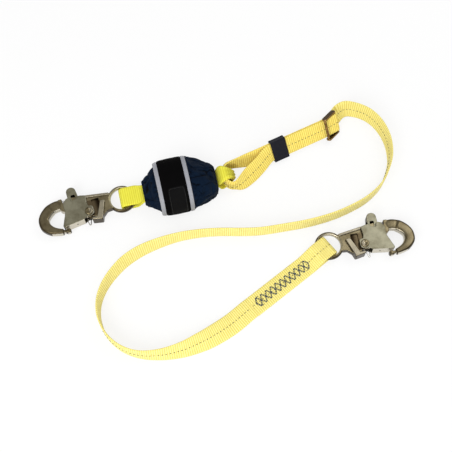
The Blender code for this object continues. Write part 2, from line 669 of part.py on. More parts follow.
# Loop from the pack through the eye of hook A; distances run from the eye's centre towards the pack
apex = -1.5 * MM
bight = bend((apex + BIGHT_RADIUS, HOOK_LEVEL), BIGHT_RADIUS, 90, 270, 14)
clear = EYE_RADIUS + EYE_BAR / 2 + 1 * MM
inside = PACK_REACH + 8 * MM
over = HOOK_LEVEL + BIGHT_RADIUS
under = HOOK_LEVEL - BIGHT_RADIUS
upper = PACK_MOUTH_HEIGHT + LAYER_STEP
lower = PACK_MOUTH_HEIGHT - LAYER_STEP
profile = [(inside, upper), (PACK_REACH, upper), (PACK_REACH - 4 * MM, upper), (clear, over), (8 * MM, over)]
profile += bight
profile += [(8 * MM, under), (clear - 1 * MM, under), (clear + 1 * MM, under + 0.3 * MM),
            (PACK_REACH - 2 * MM, lower - 1.2 * MM), (PACK_REACH, lower - 0.2 * MM), (inside, lower)]
pinch_zone = (clear, PACK_REACH - 2 * MM)
pinched = [np.interp(reach, pinch_zone, (WEB_WIDTH, MOUTH_PINCH * WEB_WIDTH)) for reach, _ in profile]
node("hook_a_loop", side_web("hook_a_loop", eye_a, pack_along, profile, pinched), lime, lanyard)

# Loop from the strap end of the pack, opened tall by the web that passes through it
pack_end = eye_a + pack_along * (PACK_REACH + PACK_LENGTH)
foot = WEB_THICKNESS * 0.6 + FLOOR_GAP
crown = foot + LOOP_HEIGHT
loop_points = [(-5.5, upper, MOUTH_PINCH), (-3, upper, MOUTH_PINCH), (0.2, upper + 0.4 * MM, 0.84)]
loop_points += [(2, upper + 2 * MM, 0.89), (4, crown - 4 * MM, 0.93)]
loop_points += [(7.4, crown - 0.4 * MM, 0.87), (12, crown, 0.74)]
loop_points += [(16.4, crown - 2.6 * MM, 0.62), (19.8, crown - 6.6 * MM, 0.54)]
loop_points += [(LOOP_REACH / MM, (crown + foot) / 2, LOOP_PINCH / WEB_WIDTH)]
loop_points += [(19.8, foot + 6.6 * MM, 0.54), (16.4, foot + 2.2 * MM, 0.62), (12, foot, 0.74)]
loop_points += [(7.4, foot + 0.2 * MM, 0.87), (4, foot + 3 * MM, 0.93), (2, lower - 1.8 * MM, 0.89)]
loop_points += [(0.2, lower - 0.4 * MM, 0.84), (-3, lower, MOUTH_PINCH), (-5.5, lower, MOUTH_PINCH)]
samples = smooth_route([(r * MM, 0, z, share) for r, z, share in loop_points], 2.2 * MM)
loop_profile = [(s[0], s[2]) for s in samples]
loop_widths = [WEB_WIDTH * s[3] for s in samples]
loop_thick = [WEB_THICKNESS * (1 + 0.25 * (1 - s[3])) for s in samples]
strap_loop = side_web("strap_end_loop", pack_end, pack_along, loop_profile, loop_widths, loop_thick)
node("strap_end_loop", strap_loop, lime, lanyard)


# Adjuster leg: doubled web from the adjuster round the pack's loop and back

keeper_at = Vector(KEEPER_AT)
adjuster_at = Vector(ADJUSTER_AT)
leg_along = (adjuster_at - keeper_at).normalized()
flat_left = Vector((-leg_along.y, leg_along.x, 0)).normalized()
tilt = math.radians(LEG_TILT)
leg_across = flat_left * math.cos(tilt) + Vector((0, 0, 1)) * math.sin(tilt)
leg_across = (leg_across - leg_along * leg_across.dot(leg_along)).normalized()
leg_up = leg_along.cross(leg_across)


def on_leg(base, along, up, across=0.0):
    return base + leg_along * along + leg_up * up + leg_across * across


def station(place, lean, width=WEB_WIDTH):
    return (place.x, place.y, place.z, lean, width, WEB_THICKNESS)


bar_reach = ADJUSTER_LENGTH / 2
slope = math.radians(ADJUSTER_TILT)
frame_along = leg_along * math.cos(slope) - leg_up * math.sin(slope)
frame_up = leg_along * math.sin(slope) + leg_up * math.cos(slope)
front_u = -bar_reach * math.cos(slope)
front_n = bar_reach * math.sin(slope)
ply = LAYER_STEP / 2 + 0.1 * MM
hug = ADJUSTER_BAR / 2 + SEAT_GAP + WEB_THICKNESS / 2

# Under layer, from behind the adjuster to the pack's loop
dip = mm([(3.2, -8.7), (0, -6.8), (-4, -4.3), (-8.5, -2.1)])
under_layer = [on_leg(adjuster_at, u, n) for u, n in dip]
under_layer += [on_leg(adjuster_at, u * MM, -ply) for u in (-13, -18, -30)]
under_layer += [on_leg(keeper_at, u * MM, -ply) for u in (30, 12, 0, -13)]
route = [station(p, 180 - LEG_TILT) for p in under_layer]
turn_centre = pack_end + pack_along * 20 * MM
pack_left = Vector((-pack_along.y, pack_along.x, 0))
for x, y, z, lean, share in ((38, 86.6, 14.6, 116, 1.0), (20, 81.6, 13.4, 100, 0.965)):
    route.append(station(Vector((x, y, z)) * MM, lean, share * WEB_WIDTH))
for angle in (90, 118, 146, 180, 214, 242, 268):
    a = math.radians(angle)
    place = turn_centre + pack_along * math.cos(a) * 11 * MM + pack_left * math.sin(a) * 15 * MM
    place.z = (crown + foot) / 2
    easing = 0.5 * (TURN_PINCH + 0.846 * WEB_WIDTH)
    route.append(station(place, 90, TURN_PINCH if 100 < angle < 260 else easing))
for x, y, z, lean, share in ((18.6, 52, 12.9, 70, 0.96), (30, 63.2, 12.9, 54, 1.0), (42, 76, 13.9, 55, 1.0)):
    route.append(station(Vector((x, y, z)) * MM, lean, share * WEB_WIDTH))
upper_layer = [on_leg(keeper_at, u * MM, ply) for u in (-13, 0, 12, 30)]
upper_layer += [on_leg(adjuster_at, u * MM, ply) for u in (-30, -18, -12)]
upper_layer += [on_leg(adjuster_at, front_u, front_n - hug - 0.1 * MM)]
route += [station(p, LEG_TILT) for p in upper_layer]
leg_samples = smooth_route(route, 4.4 * MM)

# The end of the leg wraps the adjuster's back bar
wrap = [on_leg(adjuster_at, u, n) for u, n in bend((-front_u, -front_n), hug, 72, -100, 9)]


def leg_mesh():
    rings = []
    places = [Vector(s[:3]) for s in leg_samples]
    everything = places + wrap
    for i, place in enumerate(everything):
        ahead = (everything[min(i + 1, len(everything) - 1)] - everything[max(i - 1, 0)]).normalized()
        if i < len(places):
            lean = math.radians(leg_samples[i][3])
            left = Vector((-ahead.y, ahead.x, 0)).normalized()
            across = left * math.cos(lean) + Vector((0, 0, 1)) * math.sin(lean)
            width = leg_samples[i][4]
        else:
            across = leg_across
            width = WEB_WIDTH
        if i > len(places) - 10 or i < 10:
            across = leg_across
        across = (across - ahead * across.dot(ahead)).normalized()
        rings.append(web_ring(place, across, ahead.cross(across), width, WEB_THICKNESS))
    return loft("adjuster_leg", rings)


node("adjuster_leg", leg_mesh(), yellow, lanyard)

# Keeper sleeve over both layers of the leg
axes = Matrix((leg_along, leg_across, leg_up)).transposed().to_4x4()
keeper = empty("keeper_frame", lanyard, Matrix.Translation(keeper_at) @ axes)
hole_wide = WEB_WIDTH / 2 + SEAT_GAP + 0.2 * MM
hole_high = ply + WEB_THICKNESS / 2 + SEAT_GAP + 0.1 * MM


def sleeve_ring(at, wide, high, corner):
    corners = [(wide, -high, corner), (wide, high, corner), (-wide, high, corner), (-wide, -high, corner)]
    return [Vector((at, u, v)) for u, v in rounded(corners, 2)]


half = KEEPER_LENGTH / 2
wall = KEEPER_WALL
lip = 0.5 * MM
rings = [sleeve_ring(-half, hole_wide + wall - lip, hole_high + wall - lip, 1.6 * MM),
         sleeve_ring(-half + lip, hole_wide + wall, hole_high + wall, 2 * MM),
         sleeve_ring(half - lip, hole_wide + wall, hole_high + wall, 2 * MM),
         sleeve_ring(half, hole_wide + wall - lip, hole_high + wall - lip, 1.6 * MM),
         sleeve_ring(half, hole_wide, hole_high, 0.6 * MM), sleeve_ring(-half, hole_wide, hole_high, 0.6 * MM)]
node("keeper", loft("keeper", rings, closed=True), black, keeper)

# Adjuster: a frame of two bars and two side plates, with a loose friction bar between them
axes = Matrix((frame_along, leg_across, frame_up)).transposed().to_4x4()
adjuster = empty("adjuster_frame_axes", lanyard, Matrix.Translation(adjuster_at) @ axes)
inner_half = WEB_WIDTH / 2 + 1.0 * MM
outer_half = inner_half + ADJUSTER_SIDE
side_length = bar_reach + ADJUSTER_BAR / 2 + 0.6 * MM
bar_drop = on_leg(adjuster_at, 0, -2.95 * MM) - adjuster_at
bar_place = (bar_drop.dot(frame_along), bar_drop.dot(frame_up))


def side_plate(sign):
    h = ADJUSTER_SIDE_HEIGHT / 2
    corners = [(-side_length, -h, 2.6 * MM), (side_length, -h, 2.6 * MM), (side_length, h, 2.6 * MM),
               (-side_length, h, 2.6 * MM)]
    plate = prism("side", rounded(corners, 3), inner_half, outer_half, 0.5 * MM)
    plate.transform(Matrix(((1, 0, 0, 0), (0, 0, sign, 0), (0, 1, 0, 0), (0, 0, 0, 1))))
    return mesh_from("side", [v.co.copy() for v in plate.vertices], [tuple(p.vertices) for p in plate.polygons])


def cross_bar(x, z, radius, half_length, sides=12):
    path = [Vector((x, -half_length, z)), Vector((x, half_length, z))]
    return wire("bar", path, radius, sides)


bars = [cross_bar(x, 0, ADJUSTER_BAR / 2, inner_half + ADJUSTER_SIDE / 2) for x in (-bar_reach, bar_reach)]
frame_mesh = joined("frame", side_plate(1), bars + [side_plate(-1)], "UNION")
bar_grip = ADJUSTER_SIDE * 0.4
hole = cross_bar(*bar_place, FRICTION_BAR / 2 + SEAT_GAP, inner_half + bar_grip + 2 * SEAT_GAP)
frame_mesh = joined("adjuster_frame", frame_mesh, [hole], "DIFFERENCE")
node("adjuster_frame", frame_mesh, dull, adjuster)
node("adjuster_bar", cross_bar(*bar_place, FRICTION_BAR / 2, inner_half + bar_grip), dull, adjuster)

# Sewn eye at hook B: over the eye's bar, round the bight and back under itself
level_low = WEB_THICKNESS / 2 + FLOOR_GAP
level_high = level_low + LAYER_STEP
profile = [(EYE_TAIL, level_high), (90 * MM, level_high), (60 * MM, level_high), (42 * MM, level_high),
           (36 * MM, level_high + 0.8 * MM), (28 * MM, level_high + 4.6 * MM), (clear + 2 * MM, over - 0.8 * MM),
           (clear - 1 * MM, over), (8 * MM, over)]
profile += bight
profile += [(8 * MM, under), (clear, under), (clear + 4 * MM, under - 0.6 * MM)]
profile += [(clear + 11 * MM, level_low + 0.4 * MM), (clear + 16 * MM, level_low), (60 * MM, level_low),
            (90 * MM, level_low), (EYE_TAIL, level_low)]
node("hook_b_loop", side_web("hook_b_loop", eye_b, strap_along, profile), yellow, lanyard)

# Free web from the adjuster to the sewn eye
free = [station(on_leg(adjuster_at, u * MM, n * MM, a * MM), LEG_TILT + extra)
        for u, n, a, extra in ((3.5, -8.9, 0, 0), (8.5, -11.9, 0, 2), (13, -14.3, 0.3, 4), (19, -16.2, 3, 9))]
for x, y, lean in FREE_ROUTE:
    tilt = math.radians(lean)
    height = WEB_WIDTH / 2 * math.sin(tilt) + WEB_THICKNESS / 2 * abs(math.cos(tilt)) + FLOOR_GAP
    free.append(station(Vector((x * MM, y * MM, height)), lean))
join = eye_b + strap_along * (EYE_TAIL + SEAT_GAP)
join.z = level_high
before = join + strap_along * 6 * MM
free += [station(before, 3), station(join, 0)]
free_samples = smooth_route(free, 10.5 * MM)
node("main_web", web("main_web", free_samples, leg_across), yellow, lanyard)

# Sizes and places that the record repeats
shift = Vector((PLAN_SHIFT[0], PLAN_SHIFT[1], 0))


def report(label, place, axis=None):
    text = label + " " + " ".join("%.5f" % v for v in place)
    if axis is not None:
        text += " axis " + " ".join("%.5f" % v for v in axis)
    print(text)


bpy.context.view_layer.update()
lands = [f.center.x for f in bpy.data.objects["hook_b_body"].data.polygons
         if f.normal.x < -0.999 and abs(f.center.y) < 1 * MM and f.center.x > 80 * MM]
seat_reach = sum(lands) / len(lands)
for hook, swing, along in (("hook_a", swing_a, pack_along), ("hook_b", swing_b, strap_along)):
    report(hook + "_swing", swing + shift, Vector((0, 0, 1)).cross(along))
    to_row = frames[hook].matrix_world
    for label, pivot in (("_gate", GATE_PIVOT), ("_lock", LOCK_PIVOT)):
        report(hook + label, to_row @ Vector((*pivot, 0)), to_row.to_3x3() @ Vector((0, 0, 1)))
    seat = to_row @ Vector((seat_reach, 0, 0))
    report(hook + "_seat", seat, to_row.to_3x3() @ Vector((-1, 0, 0)))
report("keeper_slide", keeper_at + shift, leg_along)
length = np.linalg.norm(np.diff(free_samples[:, :3], axis=0), axis=1).sum()
print("main_web length %.4f" % length)
print("coil gaps %.2f and %.2f mm" % ((GATE_COIL_PITCH - GATE_WIRE) / MM,
                                      ((LOCK_COIL_LENGTH - LOCK_WIRE) / LOCK_COIL_TURNS - LOCK_WIRE) / MM))
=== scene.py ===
"""Looks of the shock absorbing lanyard: plated forged hooks, woven web and a gathered absorber pack.

Metres, +Z up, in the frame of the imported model.
"""

import math

import bmesh
import bpy
import numpy as np
from mathutils import Matrix, Vector, noise


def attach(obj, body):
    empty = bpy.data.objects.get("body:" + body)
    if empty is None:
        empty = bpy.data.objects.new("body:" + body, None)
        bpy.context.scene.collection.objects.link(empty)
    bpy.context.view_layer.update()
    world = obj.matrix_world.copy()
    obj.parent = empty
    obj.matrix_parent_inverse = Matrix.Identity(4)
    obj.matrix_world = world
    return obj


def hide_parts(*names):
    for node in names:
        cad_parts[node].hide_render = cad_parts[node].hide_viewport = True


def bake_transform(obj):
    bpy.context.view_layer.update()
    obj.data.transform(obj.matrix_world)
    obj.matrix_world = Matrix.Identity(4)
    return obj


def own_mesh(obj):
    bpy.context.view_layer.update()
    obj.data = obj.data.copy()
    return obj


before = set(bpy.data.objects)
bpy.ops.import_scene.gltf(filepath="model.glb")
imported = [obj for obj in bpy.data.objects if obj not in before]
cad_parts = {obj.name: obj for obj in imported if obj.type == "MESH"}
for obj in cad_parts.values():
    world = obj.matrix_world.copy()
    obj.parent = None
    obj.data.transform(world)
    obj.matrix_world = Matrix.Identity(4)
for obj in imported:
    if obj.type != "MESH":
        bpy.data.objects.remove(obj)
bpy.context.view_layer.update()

MM = 0.001

# Webbing
WEB_WIDTH = 25.4 * MM
WEB_THICKNESS = 2.2 * MM
LAYER_GAP = 0.4 * MM
SEAT_GAP = 0.3 * MM
FLOOR_GAP = 0.2 * MM
LAYER_STEP = WEB_THICKNESS + LAYER_GAP
RIB_PITCH = 2.6 * MM
RIB_DEPTH = 0.19 * MM
WEB_SAMPLE = RIB_PITCH / 4
TRACER_PITCH = 4.6 * MM
TRACER_DASH = 2.3 * MM
TRACER_RADIUS = 0.34 * MM
THREAD_RADIUS = 0.40 * MM
STITCH_START = 33 * MM
STITCH_END = 114 * MM
STITCH_LENGTH = 2.1 * MM
STITCH_GAP = 0.25 * MM
STITCH_SHIFT = 1.1 * MM
DIAMONDS = 10
DIAMOND_SHARE = 0.48

# Snap hook, in its own frame: eye centre at the origin, nose along +X, spine along +Y
EYE_INNER = WEB_WIDTH / 2 + 0.9 * MM
EYE_BAR = 4.0 * MM
EYE_RADIUS = EYE_INNER + EYE_BAR / 2
EYE_DEPTH = 7.0 * MM
SHANK_DEPTH = 8.4 * MM
SPINE_RIM_DEPTH = 11.0 * MM
HEEL_RIM_DEPTH = 14.4 * MM
BOW_DEPTH = 11.0 * MM
LOCK_INNER = SHANK_DEPTH / 2 + SEAT_GAP
LOCK_OUTER = LOCK_INNER + 1.2 * MM
GATE_INNER = LOCK_OUTER + SEAT_GAP
GATE_OUTER = GATE_INNER + 1.4 * MM
GATE_PIVOT = (42.4 * MM, -4.5 * MM)
GATE_RIVET_RADIUS = 2.5 * MM
RIVET_HEAD_RADIUS = 5.0 * MM
RIVET_HEAD_HEIGHT = 1.3 * MM
RIVET_SEAT = GATE_OUTER + SEAT_GAP
HOOK_LEVEL = RIVET_SEAT + RIVET_HEAD_HEIGHT
LOCK_PIVOT = (57.0 * MM, 11.0 * MM)
LOCK_PIN_RADIUS = 2.0 * MM
SPRING_SLOT = 5.2 * MM
GATE_WIRE = 1.2 * MM
GATE_COIL_RADIUS = 3.45 * MM
GATE_COIL_PITCH = 1.7 * MM
GATE_COIL_TURNS = 1.5
LOCK_WIRE = 0.7 * MM
LOCK_COIL_RADIUS = 1.9 * MM
LOCK_COIL_TURNS = 4
LOCK_COIL_LENGTH = 6.3 * MM
LOCK_COIL_START = 63.35 * MM
LOCK_COIL_LEVEL = 20.65 * MM
POCKET_FLOOR = 1.8 * MM
GATE_HOLE_RADIUS = 1.1 * MM
BOW_MIDDLE = Vector((83 * MM, -1 * MM, 0))
BOW_START = 70 * MM

# Energy absorber pack
PACK_LENGTH = 92.0 * MM
PACK_WIDTH = 71.0 * MM
PACK_HEIGHT = 43.0 * MM
COVER_THICKNESS = 1.5 * MM
BAND_THICKNESS = 1.2 * MM
BAND_START = -28.5 * MM
BAND_END = 12.0 * MM
BAND_FLARE = 3.4 * MM
TRIM_WIDTH = 5.0 * MM
TRIM_LIFT = 0.3 * MM
SLEEVE_AROUND = 200
SLEEVE_RIM = 0.5 * MM
SLEEVE_RIPPLE = 0.25 * MM
PATCH_ROWS = 24
PATCH_COLUMNS = 36
PATCH_MIDDLE = -6.5
PATCH_HALF_LENGTH = 10.6
PATCH_TURN = 146.0
PATCH_HALF_TURN = 38.0
PATCH_CORNER = 0.06
PACK_MOUTH_HEIGHT = 12.0 * MM
MOUTH_PINCH = 0.82
COVER_FULLNESS = 0.10
COVER_CAP = 4.5 * MM
COVER_PUFF = 4.5 * MM
COVER_ROWS = 110
COVER_AROUND = 180
GATHER_HEIGHT = 1.8 * MM
DRAPE_HEIGHT = 0.8 * MM
CREASE_DEPTH = 0.9 * MM
CLOTH_FRAMES = 18
TEAR_RUNS = 5
TEAR_HALF_LENGTH = 26.0 * MM

# Keeper and adjuster
KEEPER_LENGTH = 20.0 * MM
KEEPER_WALL = 1.5 * MM
ADJUSTER_LENGTH = 18.0 * MM
ADJUSTER_BAR = 3.6 * MM
ADJUSTER_SIDE = 2.3 * MM
ADJUSTER_SIDE_HEIGHT = 7.0 * MM
ADJUSTER_TILT = math.radians(30.0)
FRICTION_BAR = 2.8 * MM
LEG_TILT = 57.0
LEG_SETTLED = 54.0 * MM
LEG_EASING = 14.0 * MM
FREE_EASING = 52.0 * MM

# Lay of the lanyard on the floor
PLAN_SHIFT = Vector((-0.1 * MM, -15.9 * MM, 0))
EYE_A = Vector((-128.6 * MM, 32.0 * MM, 0)) + PLAN_SHIFT
EYE_B = Vector((124.4 * MM, -29.7 * MM, 0)) + PLAN_SHIFT
HOOK_A_TURN = 20.0
HOOK_B_TURN = 7.3
PACK_TURN = 12.8
STRAP_B_TURN = 38.9
PACK_REACH = 27.5 * MM
EYE_TAIL = 120.0 * MM
KEEPER_AT = Vector((66.4 * MM, 98.3 * MM, 15.5 * MM)) + PLAN_SHIFT
ADJUSTER_AT = Vector((132.7 * MM, 129.6 * MM, 18.5 * MM)) + PLAN_SHIFT
LOOP_REACH = 21.5 * MM
LOOP_HEIGHT = 22.7 * MM
LOOP_PINCH = 13.0 * MM
TURN_PINCH = 19.3 * MM
BIGHT_RADIUS = EYE_DEPTH / 2 + LAYER_GAP + WEB_THICKNESS / 2

# Free web from the adjuster to the sewn eye: x and y in millimetres, lean of the web in degrees
FREE_ROUTE = [
    (153, 157, 72), (167, 155, 74), (180, 149, 76), (190, 140, 78), (198, 128, 80), (204, 112, 82),
    (206, 96, 84), (205, 82, 86), (200, 66, 87), (193, 51, 88), (183, 39, 89), (170, 28, 90),
    (151, 17, 90), (131, 8, 90), (102, -1, 90), (72, -7, 90), (41, -12, 90), (19, -13, 90),
    (-7, -13, 90), (-33, -15, 91), (-59, -20, 94), (-85, -29, 99), (-105, -39, 103), (-121, -51, 104),
    (-134, -66, 102), (-144, -83, 99), (-149, -100, 96), (-149, -115, 94), (-145, -129, 92),
    (-136, -144, 90), (-120, -157, 88), (-100, -164, 84), (-75, -164, 74), (-50, -158, 58),
    (-32, -150, 42), (-19, -143, 30), (6, -126, 12),
]

# Camera, fitted to the photograph
CAMERA_LENS = 70.0
CAMERA_SENSOR = 36.0
CAMERA_ELEVATION = math.radians(68.0)
CAMERA_DISTANCE = 1.081

# Stage: lamps with place, size and power, and levels of the surroundings from the horizon up
FLOOR_REACH = 4.0
FLOOR_COLOUR = (0.9, 0.9, 0.9)
FLOOR_GLOW = 0.8
LAMPS = {
    "key": ((-0.55, -1.0, 1.1), 0.8, 13),
    "fill": ((0.8, 0.5, 1.2), 0.8, 5),
    "front": ((0.25, -1.4, 0.45), 0.7, 5),
}
WORLD_STOPS = ((0.0, 1.0), (0.1, 1.0), (0.24, 0.42), (0.5, 0.46), (1.0, 0.85))
WORLD_STRENGTH = 0.95

# Meshes
UP = Vector((0, 0, 1))
SQUARE = ((-1, -1), (1, -1), (1, 1), (-1, 1))
ARC_STEPS = 8
BEVEL_STEPS = 3
CUT_REACH = 20.0 * MM
FLAT_AREA = 5e-6


def unit(turn):
    """Direction in plan at an angle in degrees."""
    return Vector((math.cos(math.radians(turn)), math.sin(math.radians(turn)), 0))


def mm(points):
    """Outline points from millimetres to metres; a third value is the corner radius."""
    return [tuple(value * MM for value in point) for point in points]


def smooth_step(value):
    value = np.clip(value, 0, 1)
    return value * value * (3 - 2 * value)


def shown(name, data):
    """Object in the scene from its data."""
    made = bpy.data.objects.new(name, data)
    bpy.context.scene.collection.objects.link(made)
    return made


# Mesh makers

def mesh_from(verts, faces):
    mesh = bpy.data.meshes.new("mesh")
    mesh.from_pydata([tuple(v) for v in verts], [], faces)
    work = bmesh.new()
    work.from_mesh(mesh)
    bmesh.ops.recalc_face_normals(work, faces=work.faces)
    work.to_mesh(mesh)
    work.free()
    return mesh


def loft_faces(count, sides, closed, first=0):
    """Faces of a skin over rings, numbered from a first vertex, capped unless it closes on itself."""
    faces = []
    for i in range(count if closed else count - 1):
        a = first + i * sides
        b = first + (i + 1) % count * sides
        for j in range(sides):
            k = (j + 1) % sides
            faces.append((a + j, a + k, b + k, b + j))
    if not closed:
        faces.append(tuple(reversed(range(first, first + sides))))
        faces.append(tuple(range(first + (count - 1) * sides, first + count * sides)))
    return faces


def loft(rings, closed=False):
    verts = [point for ring in rings for point in ring]
    return mesh_from(verts, loft_faces(len(rings), len(rings[0]), closed))


def circle(sides):
    """Cosine and sine of even angles round a circle."""
    angles = [2 * math.pi * i / sides for i in range(sides)]
    return [(math.cos(angle), math.sin(angle)) for angle in angles]


def signed_power(value, power):
    return math.copysign(abs(value) ** power, value)


def rounded(points):
    """Closed outline with each corner that has a radius turned into an arc."""
    outline = []
    count = len(points)
    for i, point in enumerate(points):
        here = Vector(point[:2])
        radius = point[2] if len(point) > 2 else 0
        if not radius:
            outline.append(tuple(here))
            continue
        back = Vector(points[i - 1][:2]) - here
        ahead = Vector(points[(i + 1) % count][:2]) - here
        half = back.angle(ahead) / 2
        reach = min(radius / math.tan(half), 0.49 * back.length, 0.49 * ahead.length)
        radius = reach * math.tan(half)
        centre = here + (back.normalized() + ahead.normalized()).normalized() * radius / math.sin(half)
        first = here + back.normalized() * reach - centre
        last = here + ahead.normalized() * reach - centre
        swing = first.angle_signed(last)
        for k in range(ARC_STEPS + 1):
            turned = Matrix.Rotation(-swing * k / ARC_STEPS, 2) @ first
            outline.append(tuple(centre + turned))
    return outline


def prism(outline, low, high, bevel=0.0):
    """Plate from a closed outline, with its two rims softened."""
    count = len(outline)
    verts = [(x, y, low) for x, y in outline] + [(x, y, high) for x, y in outline]
    faces = [tuple(range(count)), tuple(range(count, 2 * count))]
    for i in range(count):
        k = (i + 1) % count
        faces.append((i, k, count + k, count + i))
    mesh = mesh_from(verts, faces)
    if bevel:
        work = bmesh.new()
        work.from_mesh(mesh)
        rims = [e for e in work.edges if abs(e.verts[0].co.z - e.verts[1].co.z) < 1e-7]
        bmesh.ops.bevel(work, geom=rims, offset=bevel, segments=BEVEL_STEPS, profile=0.5, affect="EDGES")
        work.to_mesh(mesh)
        work.free()
    return mesh


def slab(points, half, bevel=0.0):
    """Plate on both sides of the hook's middle plane, from an outline in millimetres."""
    return prism(rounded(mm(points)), -half, half, bevel)


def hole(centre, pin_radius):
    """Cutter for a round hole through the hook, wider than its pin by the seat's gap."""
    radius = pin_radius + SEAT_GAP
    outline = [(centre[0] + radius * c, centre[1] + radius * s) for c, s in circle(40)]
    return prism(outline, -CUT_REACH, CUT_REACH)


def lathe(centre, profile, sides=48):
    """Solid of revolution about an axis along Z; the profile runs from axis to axis as radius, height."""
    verts = [(*centre, profile[0][1])]
    for radius, height in profile[1:-1]:
        verts += [(centre[0] + radius * c, centre[1] + radius * s, height) for c, s in circle(sides)]
    verts.append((*centre, profile[-1][1]))
    faces = []
    rows = len(profile) - 2
    for i in range(sides):
        k = (i + 1) % sides
        faces.append((0, 1 + k, 1 + i))
        for row in range(rows - 1):
            a = 1 + row * sides
            faces.append((a + i, a + k, a + sides + k, a + sides + i))
        a = 1 + (rows - 1) * sides
        faces.append((a + i, a + k, len(verts) - 1))
    return mesh_from(verts, faces)


def joined(base, tools, operation):
    """Mesh of a base with other meshes added to it or cut out of it."""
    holders = [shown("work", mesh) for mesh in [base] + tools]
    for holder in holders[1:]:
        step = holders[0].modifiers.new("step", "BOOLEAN")
        step.operation = operation
        step.solver = "EXACT"
        step.object = holder
    graph = bpy.context.evaluated_depsgraph_get()
    mesh = bpy.data.meshes.new_from_object(holders[0].evaluated_get(graph))
    for holder in holders:
        bpy.data.objects.remove(holder)
    return mesh


def smooth_route(points, spacing):
    """Even samples of a smooth curve through the points; every column is carried along."""
    knots = np.array(points, float)
    chord = np.linalg.norm(np.diff(knots[:, :3], axis=0), axis=1)
    at = np.concatenate([[0], np.cumsum(np.sqrt(chord))])
    slopes = np.gradient(knots, at, axis=0)
    samples = []
    for i in range(len(knots) - 1):
        span = at[i + 1] - at[i]
        for t in np.linspace(0, 1, 60, endpoint=i == len(knots) - 2):
            a = 2 * t ** 3 - 3 * t ** 2 + 1
            b = t ** 3 - 2 * t ** 2 + t
            c = 3 * t ** 2 - 2 * t ** 3
            d = t ** 3 - t ** 2
            samples.append(a * knots[i] + b * span * slopes[i] + c * knots[i + 1] + d * span * slopes[i + 1])
    samples = np.array(samples)
    length = np.concatenate([[0], np.cumsum(np.linalg.norm(np.diff(samples[:, :3], axis=0), axis=1))])
    wanted = np.linspace(0, length[-1], max(2, round(length[-1] / spacing)) + 1)
    return np.stack([np.interp(wanted, length, column) for column in samples.T], axis=1)


def bend(centre, radius, start, end, steps):
    """Arc of a side profile, angles in degrees."""
    angles = [math.radians(start + (end - start) * i / steps) for i in range(steps + 1)]
    return [(centre[0] + radius * math.cos(a), centre[1] + radius * math.sin(a)) for a in angles]


def threads(runs, sides, carried=True):
    """One mesh of round threads, each run a path of points with the radius at each.

    Each ring starts in a direction carried on from the ring before it, or else found afresh.
    """
    verts = []
    faces = []
    for path, radii in runs:
        faces += loft_faces(len(path), sides, False, len(verts))
        aside = Vector(path[1] - path[0]).orthogonal()
        for i, radius in enumerate(radii):
            ahead = Vector(path[min(i + 1, len(path) - 1)] - path[max(i - 1, 0)]).normalized()
            aside = aside - ahead * aside.dot(ahead) if carried else ahead.orthogonal()
            aside.normalize()
            other = ahead.cross(aside)
            verts += [Vector(path[i]) + (aside * c + other * s) * radius for c, s in circle(sides)]
    return mesh_from(verts, faces)


def wire(path, radius, sides=12):
    return threads([([Vector(p) for p in path], [radius] * len(path))], sides)


def section(half_wide, half_deep, sides, power):
    """Rounded section as offsets across and up."""
    angles = [2 * math.pi * (i + 0.5) / sides for i in range(sides)]
    share = 2 / power
    return [(signed_power(math.cos(a), share) * half_wide, signed_power(math.sin(a), share) * half_deep)
            for a in angles]


# Node materials

def set_stops(ramp, stops):
    elements = ramp.color_ramp.elements
    while len(elements) < len(stops):
        elements.new(0.5)
    for element, (at, colour) in zip(elements, stops):
        element.position = at
        element.color = (*colour, 1)


